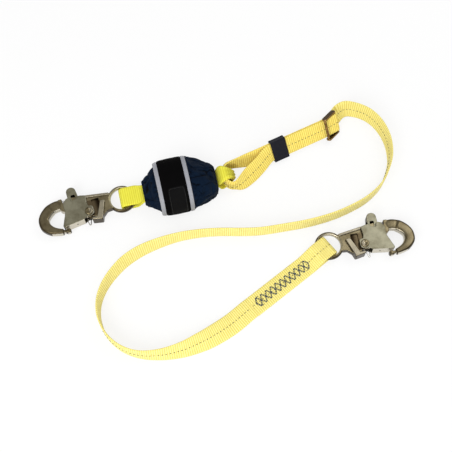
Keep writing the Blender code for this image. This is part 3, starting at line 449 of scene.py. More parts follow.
class Shader:
    """A Principled material with short calls for the nodes that shape its colour and bump."""

    def __init__(self, name, colour, roughness, metallic=0.0, sheen=0.0, shine=0.25):
        self.material = bpy.data.materials.new(name)
        self.material.use_nodes = True
        self.tree = self.material.node_tree
        self.surface = self.tree.nodes["Principled BSDF"].inputs
        self.height = None
        for label, value in (("Base Color", colour), ("Roughness", roughness), ("Metallic", metallic),
                             ("Sheen Weight", sheen), ("Sheen Roughness", 0.5)):
            self.put(self.surface[label], value)
        if not metallic:
            self.put(self.surface["Specular IOR Level"], shine)

    def put(self, socket, value):
        """Set a socket to a number or a colour, or link it to an output."""
        if isinstance(value, bpy.types.NodeSocket):
            self.tree.links.new(value, socket)
        else:
            socket.default_value = (*value, 1) if isinstance(value, tuple) else value

    def add(self, kind, sockets=None, **settings):
        made = self.tree.nodes.new(kind)
        for key, value in settings.items():
            setattr(made, key, value)
        for key, value in (sockets or {}).items():
            self.put(made.inputs[key], value)
        return made

    def maths(self, operation, first, second=0.0):
        return self.add("ShaderNodeMath", {0: first, 1: second}, operation=operation).outputs[0]

    def attribute(self, name, output="Fac"):
        return self.add("ShaderNodeAttribute", attribute_name=name).outputs[output]

    def within(self, value, low, high, soft):
        """Share from 0 to 1 that is full between two bounds and fades over a soft width outside them."""
        shares = []
        for start, end in ((low - soft, low), (high + soft, high)):
            made = self.add("ShaderNodeMapRange", {"Value": value, "From Min": start, "From Max": end},
                            interpolation_type="SMOOTHSTEP")
            shares.append(made.outputs["Result"])
        return self.maths("MULTIPLY", *shares)

    def place(self):
        return self.add("ShaderNodeTexCoord").outputs["Object"]

    def axes(self, vector):
        return self.add("ShaderNodeSeparateXYZ", {0: vector}).outputs

    def noise(self, scale, detail=3.0, roughness=0.6):
        sockets = {"Vector": self.place(), "Scale": scale, "Detail": detail, "Roughness": roughness}
        return self.add("ShaderNodeTexNoise", sockets).outputs["Fac"]

    def wave(self, position, pitch, turn=0.0):
        """Sine of a position with a pitch in metres, from 0 to 1."""
        phase = self.maths("ADD", self.maths("MULTIPLY", position, 2 * math.pi / pitch), turn)
        return self.maths("MULTIPLY", self.maths("ADD", self.maths("SINE", phase), 1.0), 0.5)

    def ramp(self, value, stops):
        made = self.add("ShaderNodeValToRGB", {"Fac": value})
        set_stops(made, stops)
        return made.outputs["Color"]

    def mix(self, share, first, second):
        made = self.add("ShaderNodeMix", data_type="RGBA")
        for socket, value in zip([s for s in made.inputs if s.enabled], (share, first, second)):
            self.put(socket, value)
        return [s for s in made.outputs if s.enabled][0]

    def colour(self, output):
        self.put(self.surface["Base Color"], output)

    def rough(self, value, low, high):
        made = self.add("ShaderNodeMapRange", {"Value": value, "To Min": low, "To Max": high})
        self.put(self.surface["Roughness"], made.outputs["Result"])

    def bump(self, value, distance, strength):
        made = self.add("ShaderNodeBump", {"Height": value, "Distance": distance, "Strength": strength})
        if self.height is not None:
            self.put(made.inputs["Normal"], self.height)
        self.height = made.outputs["Normal"]
        self.put(self.surface["Normal"], self.height)


def web_shader(name, light, deep):
    """Woven web: cross ribs with painted shade in their valleys, warp yarns and a little unevenness in the
    dye.
    """
    s = Shader(name, light, 0.72, sheen=0.15)
    ribs = s.wave(s.attribute("along"), RIB_PITCH, math.pi / 2)
    yarns = s.wave(s.attribute("across"), 1.05 * MM)
    uneven = s.noise(140, 4, 0.6)
    # Rib valleys get painted shade; the noise is unevenness in the dye.
    rib_shade_and_dye = s.maths("MULTIPLY", s.maths("SUBTRACT", 1.0, ribs), 0.8)
    rib_shade_and_dye = s.maths("ADD", rib_shade_and_dye, s.maths("MULTIPLY", s.maths("SUBTRACT", uneven, 0.5), 0.4))
    s.colour(s.mix(rib_shade_and_dye, light, deep))
    weave = s.maths("MULTIPLY", yarns, s.wave(s.attribute("along"), RIB_PITCH / 2))
    s.bump(weave, 0.12 * MM, 0.6)
    return s.material


def cloth_shader(name, dark, light, sheen, pitch):
    """Plain woven cloth with faint mottling and painted shade in its creases."""
    s = Shader(name, dark, 0.8, sheen=sheen, shine=0.03)
    cloth = s.mix(s.noise(90, 5, 0.65), dark, light)
    # Painted shade in the creases, near black.
    s.colour(s.mix(s.attribute("painted_crease_shade"), cloth, (0.0006, 0.001, 0.002)))
    x, y, z = s.axes(s.place())
    warp = s.wave(s.maths("ADD", x, z), pitch)
    weft = s.wave(s.maths("SUBTRACT", y, z), pitch)
    s.bump(s.maths("MULTIPLY", warp, weft), 0.1 * MM, 0.5)
    s.bump(s.noise(400, 3), 0.15 * MM, 0.35)
    return s.material


def plated_shader(name, pale, dark, low, high, dents=0.25):
    """Yellow-plated steel: drifts of colour in the plating, a fine cast grain and small dents, with painted
    highlight and painted shade from each face's shares and painted shade in the shank's pocket.
    """
    s = Shader(name, pale, 0.4, metallic=1.0)
    drift = s.noise(75, 5, 0.6)
    plating = s.ramp(drift, [(0.32, dark), (0.56, pale), (0.75, tuple(min(1.0, c * 1.18) for c in pale))])
    # Painted highlight, then painted shade, from the shares on each face.
    plating = s.mix(s.attribute("painted_highlight"), plating, (0.62, 0.58, 0.48))
    plating = s.mix(s.attribute("painted_shade"), plating, (0.030, 0.020, 0.010))
    # Painted shade in and beside the shank's pocket, darkest next to the heel rim.
    x, y, z = s.axes(s.attribute("spot", "Vector"))
    pocket = s.maths("MULTIPLY", s.within(x, 27.4 * MM, 41 * MM, 1.2 * MM),
                     s.within(y, -10.6 * MM, 9.6 * MM, 1.4 * MM))
    pocket = s.maths("MULTIPLY", pocket, s.within(z, -4.3 * MM, 4.3 * MM, 0.2 * MM))
    deep = s.within(x, 26 * MM, 29 * MM, 6 * MM)
    pocket_shade = s.mix(deep, (0.12, 0.09, 0.05), (0.016, 0.010, 0.005))
    s.colour(s.mix(pocket, plating, pocket_shade))
    s.rough(s.noise(210, 4), low, high)
    s.bump(s.noise(620, 3), 0.10 * MM, 0.35)
    s.bump(s.noise(110, 2), 0.22 * MM, dents)
    return s.material


def trim_shader():
    s = Shader("grey_edging", (0.30, 0.305, 0.335), 0.55, sheen=0.2)
    grain = s.noise(900, 2)
    s.colour(s.mix(grain, (0.22, 0.225, 0.25), (0.38, 0.385, 0.42)))
    s.bump(grain, 0.12 * MM, 0.5)
    return s.material


def sleeve_shader():
    s = Shader("keeper_rubber", (0.005, 0.0055, 0.012), 0.5, shine=0.18)
    s.rough(s.noise(160, 3), 0.38, 0.58)
    s.bump(s.noise(900, 2), 0.06 * MM, 0.4)
    return s.material


def thread_shader(name, colour):
    s = Shader(name, colour, 0.6, sheen=0.1)
    s.bump(s.noise(1500, 1), 0.08 * MM, 0.5)
    return s.material


yellow = web_shader("yellow_web", (0.91, 0.83, 0.29), (0.66, 0.50, 0.07))
# The leg is the same yellow web, with deeper painted shade in its rib valleys.
leg_yellow_deeper_shade = web_shader("yellow_leg_web_deeper_shade", (0.93, 0.81, 0.20), (0.66, 0.42, 0.035))
lime = web_shader("lime_web", (0.82, 0.79, 0.075), (0.66, 0.58, 0.02))
raw_white = web_shader("raw_white_web", (0.75, 0.74, 0.68), (0.6, 0.58, 0.5))
navy = cloth_shader("navy_cloth", (0.0018, 0.0058, 0.0155), (0.0045, 0.0125, 0.030), 0.03, 0.9 * MM)
black = cloth_shader("black_band", (0.0012, 0.0011, 0.0012), (0.0026, 0.0024, 0.0026), 0.0, 1.4 * MM)
patch_cloth = cloth_shader("black_patch", (0.0035, 0.0034, 0.0036), (0.0065, 0.0064, 0.0066), 0.02, 0.8 * MM)
grey = trim_shader()
plated = plated_shader("plated_forging", (0.245, 0.205, 0.12), (0.12, 0.095, 0.05), 0.22, 0.38)
sheet_metal = plated_shader("plated_sheet", (0.27, 0.255, 0.18), (0.17, 0.155, 0.10), 0.28, 0.44, 0.06)
bright = plated_shader("spring_wire", (0.66, 0.65, 0.61), (0.45, 0.43, 0.38), 0.18, 0.3)
bronze = plated_shader("adjuster_plate", (0.33, 0.20, 0.075), (0.07, 0.04, 0.015), 0.20, 0.36)
rubber = sleeve_shader()
slate_thread = thread_shader("slate_thread", (0.05, 0.07, 0.095))
tracer_thread = thread_shader("tracer_thread", (0.035, 0.04, 0.05))
dark_thread = thread_shader("dark_thread", (0.012, 0.012, 0.013))


def piece(name, mesh, finish, replaced=(), body="web_and_pack", matrix=None, angle=32.0):
    """Object that stands for solids and rides on a body; one given no body here is left unattached."""
    if matrix is not None:
        mesh = mesh.copy()
        mesh.transform(matrix)
    mesh.name = name
    mesh.materials.clear()
    mesh.materials.append(finish)
    mesh.shade_smooth()
    if angle:
        mesh.set_sharp_from_angle(angle=math.radians(angle))
        for face in mesh.polygons:
            if face.area > FLAT_AREA:
                face.use_smooth = False
    made = shown(name, mesh)
    if body:
        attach(made, body)
    if replaced:
        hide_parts(*replaced)
    return made


# Hook forging: eye, shank with a pocket in each face, spine and heel rims, bow and the knob at its nose

def toned(mesh):
    """Shares on each face for painted shade on the dark outer walls and the bow's top, painted reflection on
    the pale inner walls and a bright painted reflection on the web, and each point's place.
    """
    dark = []
    pale = []
    for face in mesh.polygons:
        wall = 1 - float(smooth_step((abs(face.normal.z) - 0.2) / 0.6))
        bow = face.center.x > BOW_START
        eye = face.center.length < EYE_RADIUS + EYE_BAR
        facing = -(face.center - BOW_MIDDLE if bow else face.center).normalized().dot(face.normal)
        inward = facing > 0 and (bow or eye)
        inside = float(smooth_step(facing / 0.55))
        outside = float(smooth_step(-facing / 0.8)) * (bow or eye)
        web = face.normal.y < -0.9 and face.center.y < -10.5 * MM and face.center.x > 45 * MM
        land = face.center.x < 42 * MM and abs(face.center.z) > 5 * MM and abs(face.normal.z) > 0.9
        # Painted shade on the outer walls and the bow's top; painted reflection on the inner walls and the
        # gate's web; a painted highlight on the rim tops.
        edge = 0.1 * wall if inward else max(0.9 * wall, 0.8 * outside)
        dark.append(0.0 if web else max(edge, 0.38 * bow * (1 - wall) * (1 - inside)))
        pale.append(1.0 if web else 0.3 * land + 0.8 * inside * inward)
    for label, shares in (("painted_shade", dark), ("painted_highlight", pale)):
        mesh.attributes.new(label, "FLOAT", "FACE").data.foreach_set("value", shares)
    places = np.array([v.co for v in mesh.vertices], np.float32).ravel()
    mesh.attributes.new("spot", "FLOAT_VECTOR", "POINT").data.foreach_set("vector", places)
    return mesh


def hook_body():
    ring = section(EYE_BAR / 2, EYE_DEPTH / 2, 24, 2.2)
    rings = [[Vector((c, s, 0)) * (EYE_RADIUS + u) + UP * v for u, v in ring] for c, s in circle(96)]
    eye = loft(rings, closed=True)

    joint = [(EYE_RADIUS * math.cos(math.radians(a)), EYE_RADIUS * math.sin(math.radians(a)))
             for a in (-36, -8, 20, 48)]
    lower = mm([(21, -9.5, 3), (30, -17, 2), (36, -15.5, 2), (38.3, -10.7, 3), (48.8, -10.7, 5.5),
                (48.8, -5.4, 1.5), (54, -4.8, 3), (62, -0.6, 5), (70.5, 5, 4), (75, 9, 2)])
    upper = mm([(75, 24, 1.2), (70, 23.8, 1.2), (70, 18, 0.8), (60.3, 18, 0.8), (60.3, 22.2, 1.2),
                (52, 20.5, 6), (42, 18, 8), (16, 12.4, 6)])
    outline = [joint[0]] + lower + upper + [joint[3], joint[2], joint[1]]
    shank = prism(rounded(outline), -SHANK_DEPTH / 2, SHANK_DEPTH / 2, 0.6 * MM)
    spine = slab([(13.4, 9, 1.2), (28, 12, 3), (42, 14.8, 1.2), (42, 18.5, 1.2), (17, 13.1, 4),
                  (12.8, 12.2, 1.2)], SPINE_RIM_DEPTH / 2, 0.7 * MM)
    heel = slab([(19.6, 4.2, 1.4), (29.2, -19.4, 1.8), (41.6, -16.4, 1.4), (41.6, -13.2, 1.4),
                 (34.8, -14.2, 2), (25.8, 5, 1.4)], HEEL_RIM_DEPTH / 2, 0.9 * MM)

    # Bow stations: centre x and y, half width and half depth as a share of the bow's depth
    stations = [(71, 16.4, 6.0, 0.73), (74.4, 17.1, 6.5, 0.80), (78.4, 17.4, 6.7, 0.84), (82, 17, 6.7, 0.85),
                (85.6, 16, 6.7, 0.86), (86.6, 15.5, 6.8, 1.0), (91, 12.6, 6.8, 1.0), (95.6, 8, 6.7, 1.0),
                (97.8, 3.8, 6.6, 1.0), (97.8, -3.8, 6.6, 1.0), (95.6, -8, 6.0, 1.0), (91.6, -12.2, 5.2, 0.98),
                (86.2, -15.2, 4.2, 0.94), (81, -17.2, 3.5, 0.9), (79.4, -17.6, 3.2, 0.86),
                (78.6, -17.8, 2.2, 0.66), (76, -18.3, 2.0, 0.6), (74.8, -18.5, 2.7, 0.66),
                (73, -18.7, 3.2, 0.7), (71.2, -18.8, 2.8, 0.66), (70, -18.8, 1.6, 0.5)]
    samples = smooth_route([(x * MM, y * MM, 0, wide * MM, deep) for x, y, wide, deep in stations], 0.7 * MM)
    places = [Vector(s[:3]) for s in samples]
    rings = []
    for i, sample in enumerate(samples):
        ahead = (places[min(i + 1, len(places) - 1)] - places[max(i - 1, 0)]).normalized()
        out = Vector((-ahead.y, ahead.x, 0))
        rings.append([places[i] + out * u + UP * v
                      for u, v in section(sample[3], sample[4] * BOW_DEPTH / 2, 48, 4.0)])
    bow = loft(rings)

    solid = joined(shank, [eye, spine, heel, bow], "UNION")
    slot = [(38, -12.5), (52, -12.5), (52, -3.6, 1), (49.4, 0.8, 2), (38, 0.8, 2)]
    pocket = rounded(mm([(27.4, 10, 1.5), (26.8, 5, 1.5), (34.6, -11.6, 1.5), (36.4, -11.6, 0.8),
                         (36.4, 10.6, 1.5)]))
    cutters = [prism(pocket, POCKET_FLOOR, SHANK_DEPTH), prism(pocket, -SHANK_DEPTH, -POCKET_FLOOR),
               slab(slot, SPRING_SLOT / 2), hole(GATE_PIVOT, GATE_RIVET_RADIUS),
               hole(LOCK_PIVOT, LOCK_PIN_RADIUS)]
    return toned(joined(solid, cutters, "DIFFERENCE"))


def hook_gate():
    outline = [(36.2, 1.7, 5), (36.2, -10.7, 6.2), (46.5, -10.7, 2), (51, -13, 1), (75.5, -15, 1.2),
               (77.5, -13.4, 1), (70.2, 3.5, 8), (70.2, 15, 4), (64.5, 21, 3), (60.2, 20.6, 0.8),
               (59.4, 15, 1.2), (52.2, 16.8, 1.2), (50.8, 19.7, 0.8), (47, 19.2, 3), (40.6, 17.2, 1.2),
               (41.8, 8, 3), (41.6, 2.5, 2)]
    inside = [(30, -20), (50.6, -20), (50.6, -11.5), (85, -14.2), (85, 30), (30, 30)]
    web_hole = wire(mm([(60, -18, 0), (60, -8, 0)]), GATE_HOLE_RADIUS, 24)
    cutters = [slab(inside, GATE_INNER), hole(GATE_PIVOT, GATE_RIVET_RADIUS), web_hole]
    return toned(joined(slab(outline, GATE_OUTER, 0.6 * MM), cutters, "DIFFERENCE"))


def hook_lock():
    outline = [(48.8, -10, 0.8), (52.3, -10, 0.8), (54.6, -6.5, 3), (55.2, 2, 4), (62.4, 6, 5), (63, 16, 3),
               (62, 34.2, 5.9), (51, 34.2, 5.9), (50, 24, 2), (51, 14, 4), (51.5, 5, 4), (51.5, -4.4, 3)]
    inside = [(40, -30), (80, -30), (80, 20.3), (61.8, 20.3), (61.8, 33.2, 5.2), (51.2, 33.2, 5.2),
              (51.2, 24.4), (40, 24.4)]
    window = [(52.6, 17.6, 0.8), (58, 16.2, 0.8), (58.6, 23.6, 1.6), (53.2, 23.6, 1.6)]
    cutters = [slab(inside, LOCK_INNER), slab(window, CUT_REACH), hole(LOCK_PIVOT, LOCK_PIN_RADIUS)]
    return toned(joined(slab(outline, LOCK_OUTER, 0.5 * MM), cutters, "DIFFERENCE"))


def gate_rivet():
    """Rivet with domed heads and a shallow dimple from the setting tool."""
    r = GATE_RIVET_RADIUS
    head = RIVET_HEAD_RADIUS
    seat = RIVET_SEAT
    top = RIVET_SEAT + RIVET_HEAD_HEIGHT
    half = [(r, seat), (head * 0.97, seat), (head, seat + 0.15 * MM), (head, seat + 0.5 * MM),
            (head * 0.96, seat + 0.75 * MM), (head * 0.86, top - 0.22 * MM), (head * 0.72, top - 0.05 * MM),
            (head * 0.58, top), (head * 0.48, top - 0.08 * MM), (head * 0.38, top - 0.5 * MM),
            (head * 0.2, top - 0.62 * MM)]
    profile = [(0, -top + 0.65 * MM)] + [(a, -b) for a, b in reversed(half)] + half + [(0, top - 0.65 * MM)]
    return toned(lathe(GATE_PIVOT, profile))


def lock_pin():
    r = LOCK_PIN_RADIUS
    half = [(r, LOCK_OUTER - 0.4 * MM), (r * 0.8, LOCK_OUTER), (0, LOCK_OUTER)]
    return lathe(LOCK_PIVOT, [(a, -b) for a, b in reversed(half)] + half, 32)


def gate_spring():
    """Torsion coil round the rivet: a short leg on the shank and a hairpin leg behind the gate's web."""
    rise = GATE_COIL_PITCH * GATE_COIL_TURNS
    r = GATE_COIL_RADIUS
    cx, cy = GATE_PIVOT
    path = [(cx + r, cy + 3.6 * MM, -rise / 2), (cx + r, cy + 1.6 * MM, -rise / 2)]
    steps = round(30 * GATE_COIL_TURNS)
    for i in range(steps):
        angle = -2 * math.pi * GATE_COIL_TURNS * i / steps
        path.append((cx + r * math.cos(angle), cy + r * math.sin(angle), -rise / 2 + rise * i / steps))
    path += [(cx - r, cy, rise / 2), (cx - r, cy - 2.6 * MM, rise / 2),
             (cx - r * 0.96, cy - 4.4 * MM, rise / 2)]
    hairpin = [(-2.6, -6.2, 1.5), (-0.4, -7.6, 1.1), (1.0, -9.6, 0.6), (2.2, -13.6, 0.2), (2.9, -15.4, 0),
               (3.4, -15.9, 0), (3.9, -15.4, 0), (4.5, -13.4, 0), (5.2, -8.4, 0)]
    path += [(cx + x * MM, cy + y * MM, z * MM) for x, y, z in hairpin]
    return wire(smooth_route(path, 0.4 * MM)[:, :3], GATE_WIRE / 2)


def lock_spring():
    run = LOCK_COIL_LENGTH - LOCK_WIRE
    start = LOCK_COIL_START + LOCK_WIRE / 2
    r = LOCK_COIL_RADIUS
    steps = 28 * LOCK_COIL_TURNS
    path = []
    for i in range(steps + 1):
        angle = 2 * math.pi * LOCK_COIL_TURNS * i / steps
        path.append((start + run * i / steps, LOCK_COIL_LEVEL + r * math.cos(angle), r * math.sin(angle)))
    return wire(path, LOCK_WIRE / 2)


hook_pieces = [
    ("forging", "body", "", hook_body(), plated, "plated_steel"),
    ("gate_channel", "gate", "gate", hook_gate(), sheet_metal, "plated_steel"),
    ("lock_channel", "lock", "lock", hook_lock(), sheet_metal, "plated_steel"),
    ("rivet", "gate_rivet", "", gate_rivet(), plated, "plated_steel"),
    ("pin", "lock_pin", "", lock_pin(), bright, "spring_steel"),
    ("hairpin", "gate_spring", "", gate_spring(), bright, "spring_steel"),
    ("coil", "lock_spring", "", lock_spring(), bright, "spring_steel"),
]
turned_a = Matrix.Rotation(math.radians(HOOK_A_TURN), 4, "Z") @ Matrix.Rotation(math.pi, 4, "Y")
turned_b = Matrix.Rotation(math.radians(HOOK_B_TURN), 4, "Z")
for hook, eye, turned in (("a", EYE_A, turned_a), ("b", EYE_B, turned_b)):
    place = Matrix.Translation(eye + UP * HOOK_LEVEL) @ turned
    name = "hook_" + hook + "_"
    for label, node, moving, mesh, finish, slot in hook_pieces:
        body = moving + "_" + hook if moving else "hook_" + hook
        made = piece(name + label, mesh, finish, [name + node], body, place)
        if label == "coil":
            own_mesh(made)


# Ribbons of web

class Ribbon:
    """Flat web along places, with a direction across it at each place."""

    def __init__(self, places, acrosses, widths=None, side_folds=None, phase=0.0):
        self.places = np.array(places, float)
        self.count = len(self.places)
        ahead = np.gradient(self.places, axis=0)
        self.ahead = ahead / np.linalg.norm(ahead, axis=1)[:, None]
        across = np.array(acrosses, float)
        across = across - self.ahead * (across * self.ahead).sum(1)[:, None]
        self.across = across / np.linalg.norm(across, axis=1)[:, None]
        self.up = np.cross(self.ahead, self.across)
        step = np.linalg.norm(np.diff(self.places, axis=0), axis=1)
        self.along = np.concatenate([[0], np.cumsum(step)])
        self.length = self.along[-1]
        self.widths = np.full(self.count, WEB_WIDTH) if widths is None else np.array(widths, float)
        self.folds = np.zeros(self.count) if side_folds is None else np.array(side_folds, float)
        self.phase = phase

    def at(self, along, share, lift):
        """Point at a distance along, a share of the half width across and a lift off the middle."""
        def read(table):
            return np.array([np.interp(along, self.along, column) for column in np.atleast_2d(table.T)])
        across = read(self.across)
        up = read(self.up)
        half = float(read(self.widths)[0]) / 2
        fold = float(read(self.folds)[0])
        return read(self.places) + across * half * share + up * (lift + fold * math.cos(3 * math.pi * share))

    def mesh(self):
        """Web with cross ribs and soft selvedges; it carries the distances along and across it."""
        shares = [1.0, 0.965, 0.86, 0.6, 0.3, 0.0, -0.3, -0.6, -0.86, -0.965]
        lifts = [0.0, 0.74, 1.0, 1.0, 1.0, 1.0, 1.0, 1.0, 1.0, 0.74]
        corners = list(zip(shares, lifts)) + [(-s, -l) for s, l in zip(shares, lifts)]
        ribs = np.cos(2 * math.pi * (self.along + self.phase) / RIB_PITCH)
        verts = np.zeros((self.count, len(corners), 3))
        for k, (share, lift) in enumerate(corners):
            half = self.widths / 2 + 0.5 * RIB_DEPTH * ribs * (abs(share) > 0.9)
            rise = lift * WEB_THICKNESS / 2 + np.sign(lift) * RIB_DEPTH * (ribs - 1) / 2
            rise = rise + self.folds * math.cos(3 * math.pi * share)
            verts[:, k] = self.places + self.across * (half * share)[:, None] + self.up * rise[:, None]
        verts[..., 2] = np.maximum(verts[..., 2], FLOOR_GAP / 2)
        made = mesh_from(verts.reshape(-1, 3), loft_faces(self.count, len(corners), False))
        distance = np.repeat(self.along + self.phase, len(corners))
        aside = (np.array([c[0] for c in corners])[None, :] * self.widths[:, None] / 2).ravel()
        for label, values in (("along", distance), ("across", aside)):
            made.attributes.new(label, "FLOAT", "POINT").data.foreach_set("value", values.astype(np.float32))
        return made


def stitches(ribbon, runs, side, radius):
    """Thread on a face of a ribbon: each run goes from one place and share across to another."""
    paths = []
    for start, share, end, last_share in runs:
        path = []
        radii = []
        for t in np.linspace(0, 1, 7):
            swell = math.sqrt(max(0.0, 1 - (2 * t - 1) ** 4))
            lift = side * (WEB_THICKNESS / 2 - 0.25 * radius + 0.45 * radius * swell)
            path.append(ribbon.at(start + (end - start) * t, share + (last_share - share) * t, lift))
            radii.append(radius * max(swell, 0.25))
        paths.append((path, radii))
    return threads(paths, 8, carried=False)


def tracer_runs(start, end):
    places = [start + i * TRACER_PITCH for i in range(int((end - start) / TRACER_PITCH))]
    return [(place, 0.0, place + TRACER_DASH, 0.0) for place in places]


def upright_ribbon(origin, along, profile, shares=None, phase=0.0):
    """Web bent only in an upright plane: the profile is distance along and height."""
    across = UP.cross(along)
    columns = [(r, 0, z, share) for (r, z), share in zip(profile, shares or [1.0] * len(profile))]
    samples = smooth_route(columns, WEB_SAMPLE)
    places = [Vector(origin) + along * s[0] + UP * s[2] for s in samples]
    widths = [WEB_WIDTH * s[3] for s in samples]
    folds = [1.9 * MM * float(smooth_step((1 - s[3]) / 0.4)) for s in samples]
    return Ribbon(places, [across] * len(places), widths, folds, phase)


pack_along = unit(PACK_TURN)
strap_along = unit(STRAP_B_TURN + 180)
over = HOOK_LEVEL + BIGHT_RADIUS
under = HOOK_LEVEL - BIGHT_RADIUS
upper = PACK_MOUTH_HEIGHT + LAYER_STEP
lower = PACK_MOUTH_HEIGHT - LAYER_STEP
clear = EYE_RADIUS + EYE_BAR / 2 + 1 * MM
bight = bend((-1.5 * MM + BIGHT_RADIUS, HOOK_LEVEL), BIGHT_RADIUS, 90, 270, 14)

# Loop from the pack through the eye of hook A
inside = PACK_REACH + 8 * MM
profile = [(inside, upper), (PACK_REACH, upper), (PACK_REACH - 4 * MM, upper), (clear, over), (8 * MM, over)]
profile += bight
profile += [(8 * MM, under), (clear - 1 * MM, under), (clear + 1 * MM, under + 0.3 * MM),
            (PACK_REACH - 2 * MM, lower - 1.2 * MM), (PACK_REACH, lower - 0.2 * MM), (inside, lower)]
pinch_zone = (clear, PACK_REACH - 2 * MM)
shares = [np.interp(r, pinch_zone, (1.0, MOUTH_PINCH)) for r, _ in profile]
loop_a = upright_ribbon(EYE_A, pack_along, profile, shares)
made = piece("hook_a_web", loop_a.mesh(), lime, ["hook_a_loop"], None, angle=0)
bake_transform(made)

# Loop from the strap end of the pack, opened tall by the web that passes through it
pack_end = EYE_A + pack_along * (PACK_REACH + PACK_LENGTH)
foot = WEB_THICKNESS * 0.6 + FLOOR_GAP
crown = foot + LOOP_HEIGHT
loop_points = [
    (-5.5, upper, MOUTH_PINCH), (-3, upper, MOUTH_PINCH), (0.2, upper + 0.4 * MM, 0.84),
    (2, upper + 2 * MM, 0.89), (4, crown - 4 * MM, 0.93), (7.4, crown - 0.4 * MM, 0.87), (12, crown, 0.74),
    (16.4, crown - 2.6 * MM, 0.62), (19.8, crown - 6.6 * MM, 0.54),
    (LOOP_REACH / MM, (crown + foot) / 2, LOOP_PINCH / WEB_WIDTH),
    (19.8, foot + 6.6 * MM, 0.54), (16.4, foot + 2.2 * MM, 0.62), (12, foot, 0.74),
    (7.4, foot + 0.2 * MM, 0.87), (4, foot + 3 * MM, 0.93), (2, lower - 1.8 * MM, 0.89),
    (0.2, lower - 0.4 * MM, 0.84), (-3, lower, MOUTH_PINCH), (-5.5, lower, MOUTH_PINCH),
]
loop_profile = [(r * MM, z) for r, z, _ in loop_points]
strap_loop = upright_ribbon(pack_end, pack_along, loop_profile, [share for _, _, share in loop_points])
piece("strap_end_web", strap_loop.mesh(), lime, ["strap_end_loop"], angle=0)

# Adjuster leg: doubled web from the adjuster round the pack's loop and back
leg_along = (ADJUSTER_AT - KEEPER_AT).normalized()
flat_left = Vector((-leg_along.y, leg_along.x, 0)).normalized()
leg_across = flat_left * math.cos(math.radians(LEG_TILT)) + UP * math.sin(math.radians(LEG_TILT))
leg_across = (leg_across - leg_along * leg_across.dot(leg_along)).normalized()
leg_up = leg_along.cross(leg_across)


def on_leg(base, along, up, across=0.0):
    return base + leg_along * along + leg_up * up + leg_across * across


def station(place, lean, width=WEB_WIDTH):
    return (place.x, place.y, place.z, lean, width)


def leaning_across(samples, settled):
    """Direction across a web from its lean: 0 lies flat, 90 stands on edge, raised on the left.

    It turns to the leg's own direction as the settled share goes from 0 to 1.
    """
    ahead = np.gradient(samples[:, :3], axis=0)
    left = np.stack([-ahead[:, 1], ahead[:, 0], np.zeros(len(ahead))], axis=1)
    left /= np.linalg.norm(left, axis=1)[:, None]
    lean = np.radians(samples[:, 3])[:, None]
    across = left * np.cos(lean) + np.array(UP)[None, :] * np.sin(lean)
    share = smooth_step(settled)[:, None]
    return across * (1 - share) + np.array(leg_across)[None, :] * share


bar_reach = ADJUSTER_LENGTH / 2
front_u = -bar_reach * math.cos(ADJUSTER_TILT)
front_n = bar_reach * math.sin(ADJUSTER_TILT)
ply = LAYER_STEP / 2 + 0.1 * MM
hug = ADJUSTER_BAR / 2 + SEAT_GAP + WEB_THICKNESS / 2

under_layer = [on_leg(ADJUSTER_AT, u * MM, n * MM)
               for u, n in ((3.2, -8.7), (0, -6.8), (-4, -4.3), (-8.5, -2.1))]
under_layer += [on_leg(ADJUSTER_AT, u * MM, -ply) for u in (-13, -18, -30)]
under_layer += [on_leg(KEEPER_AT, u * MM, -ply) for u in (30, 12, 0, -13)]
route = [station(p, 180 - LEG_TILT) for p in under_layer]
turn_centre = pack_end + pack_along * 20 * MM
pack_left = Vector((-pack_along.y, pack_along.x, 0))
for x, y, z, lean, share in ((38, 86.6, 14.6, 116, 1.0), (20, 81.6, 13.4, 100, 0.965)):
    route.append(station(Vector((x, y, z)) * MM + PLAN_SHIFT, lean, share * WEB_WIDTH))
for angle in (90, 118, 146, 180, 214, 242, 268):
    a = math.radians(angle)
    place = turn_centre + pack_along * math.cos(a) * 11 * MM + pack_left * math.sin(a) * 15 * MM
    place.z = (crown + foot) / 2
    easing = 0.5 * (TURN_PINCH + 0.846 * WEB_WIDTH)
    route.append(station(place, 90, TURN_PINCH if 100 < angle < 260 else easing))
for x, y, z, lean, share in ((18.6, 52, 12.9, 70, 0.96), (30, 63.2, 12.9, 54, 1.0), (42, 76, 13.9, 55, 1.0)):
    route.append(station(Vector((x, y, z)) * MM + PLAN_SHIFT, lean, share * WEB_WIDTH))
upper_layer = [on_leg(KEEPER_AT, u * MM, ply) for u in (-13, 0, 12, 30)]
upper_layer += [on_leg(ADJUSTER_AT, u * MM, ply) for u in (-30, -18, -12)]
upper_layer += [on_leg(ADJUSTER_AT, front_u, front_n - hug - 0.1 * MM)]
wrap = [on_leg(ADJUSTER_AT, u, n) for u, n in bend((-front_u, -front_n), hug, 72, -100, 9)]
route += [station(p, LEG_TILT) for p in upper_layer]
leg_samples = smooth_route(route, WEB_SAMPLE)
travelled = np.arange(len(leg_samples)) * WEB_SAMPLE
from_ends = np.minimum(travelled, travelled[-1] - travelled)
acrosses = leaning_across(leg_samples, (LEG_SETTLED - from_ends) / LEG_EASING)
wrap_samples = smooth_route([tuple(leg_samples[-1][:3])] + [tuple(p) for p in wrap], WEB_SAMPLE)[1:]
leg_places = np.concatenate([leg_samples[:, :3], wrap_samples])
leg_acrosses = np.concatenate([acrosses, np.tile(np.array(leg_across), (len(wrap_samples), 1))])
leg_widths = np.concatenate([leg_samples[:, 4], np.full(len(wrap_samples), WEB_WIDTH)])
leg_folds = 1.3 * MM * smooth_step((1 - leg_widths / WEB_WIDTH) / 0.24)
leg = Ribbon(leg_places, leg_acrosses, leg_widths, leg_folds)
piece("leg_web", leg.mesh(), leg_yellow_deeper_shade, ["adjuster_leg"], angle=0)
leg_thread = stitches(leg, tracer_runs(2 * MM, leg.length - 2 * MM), 1, TRACER_RADIUS)
piece("leg_tracer", leg_thread, tracer_thread)

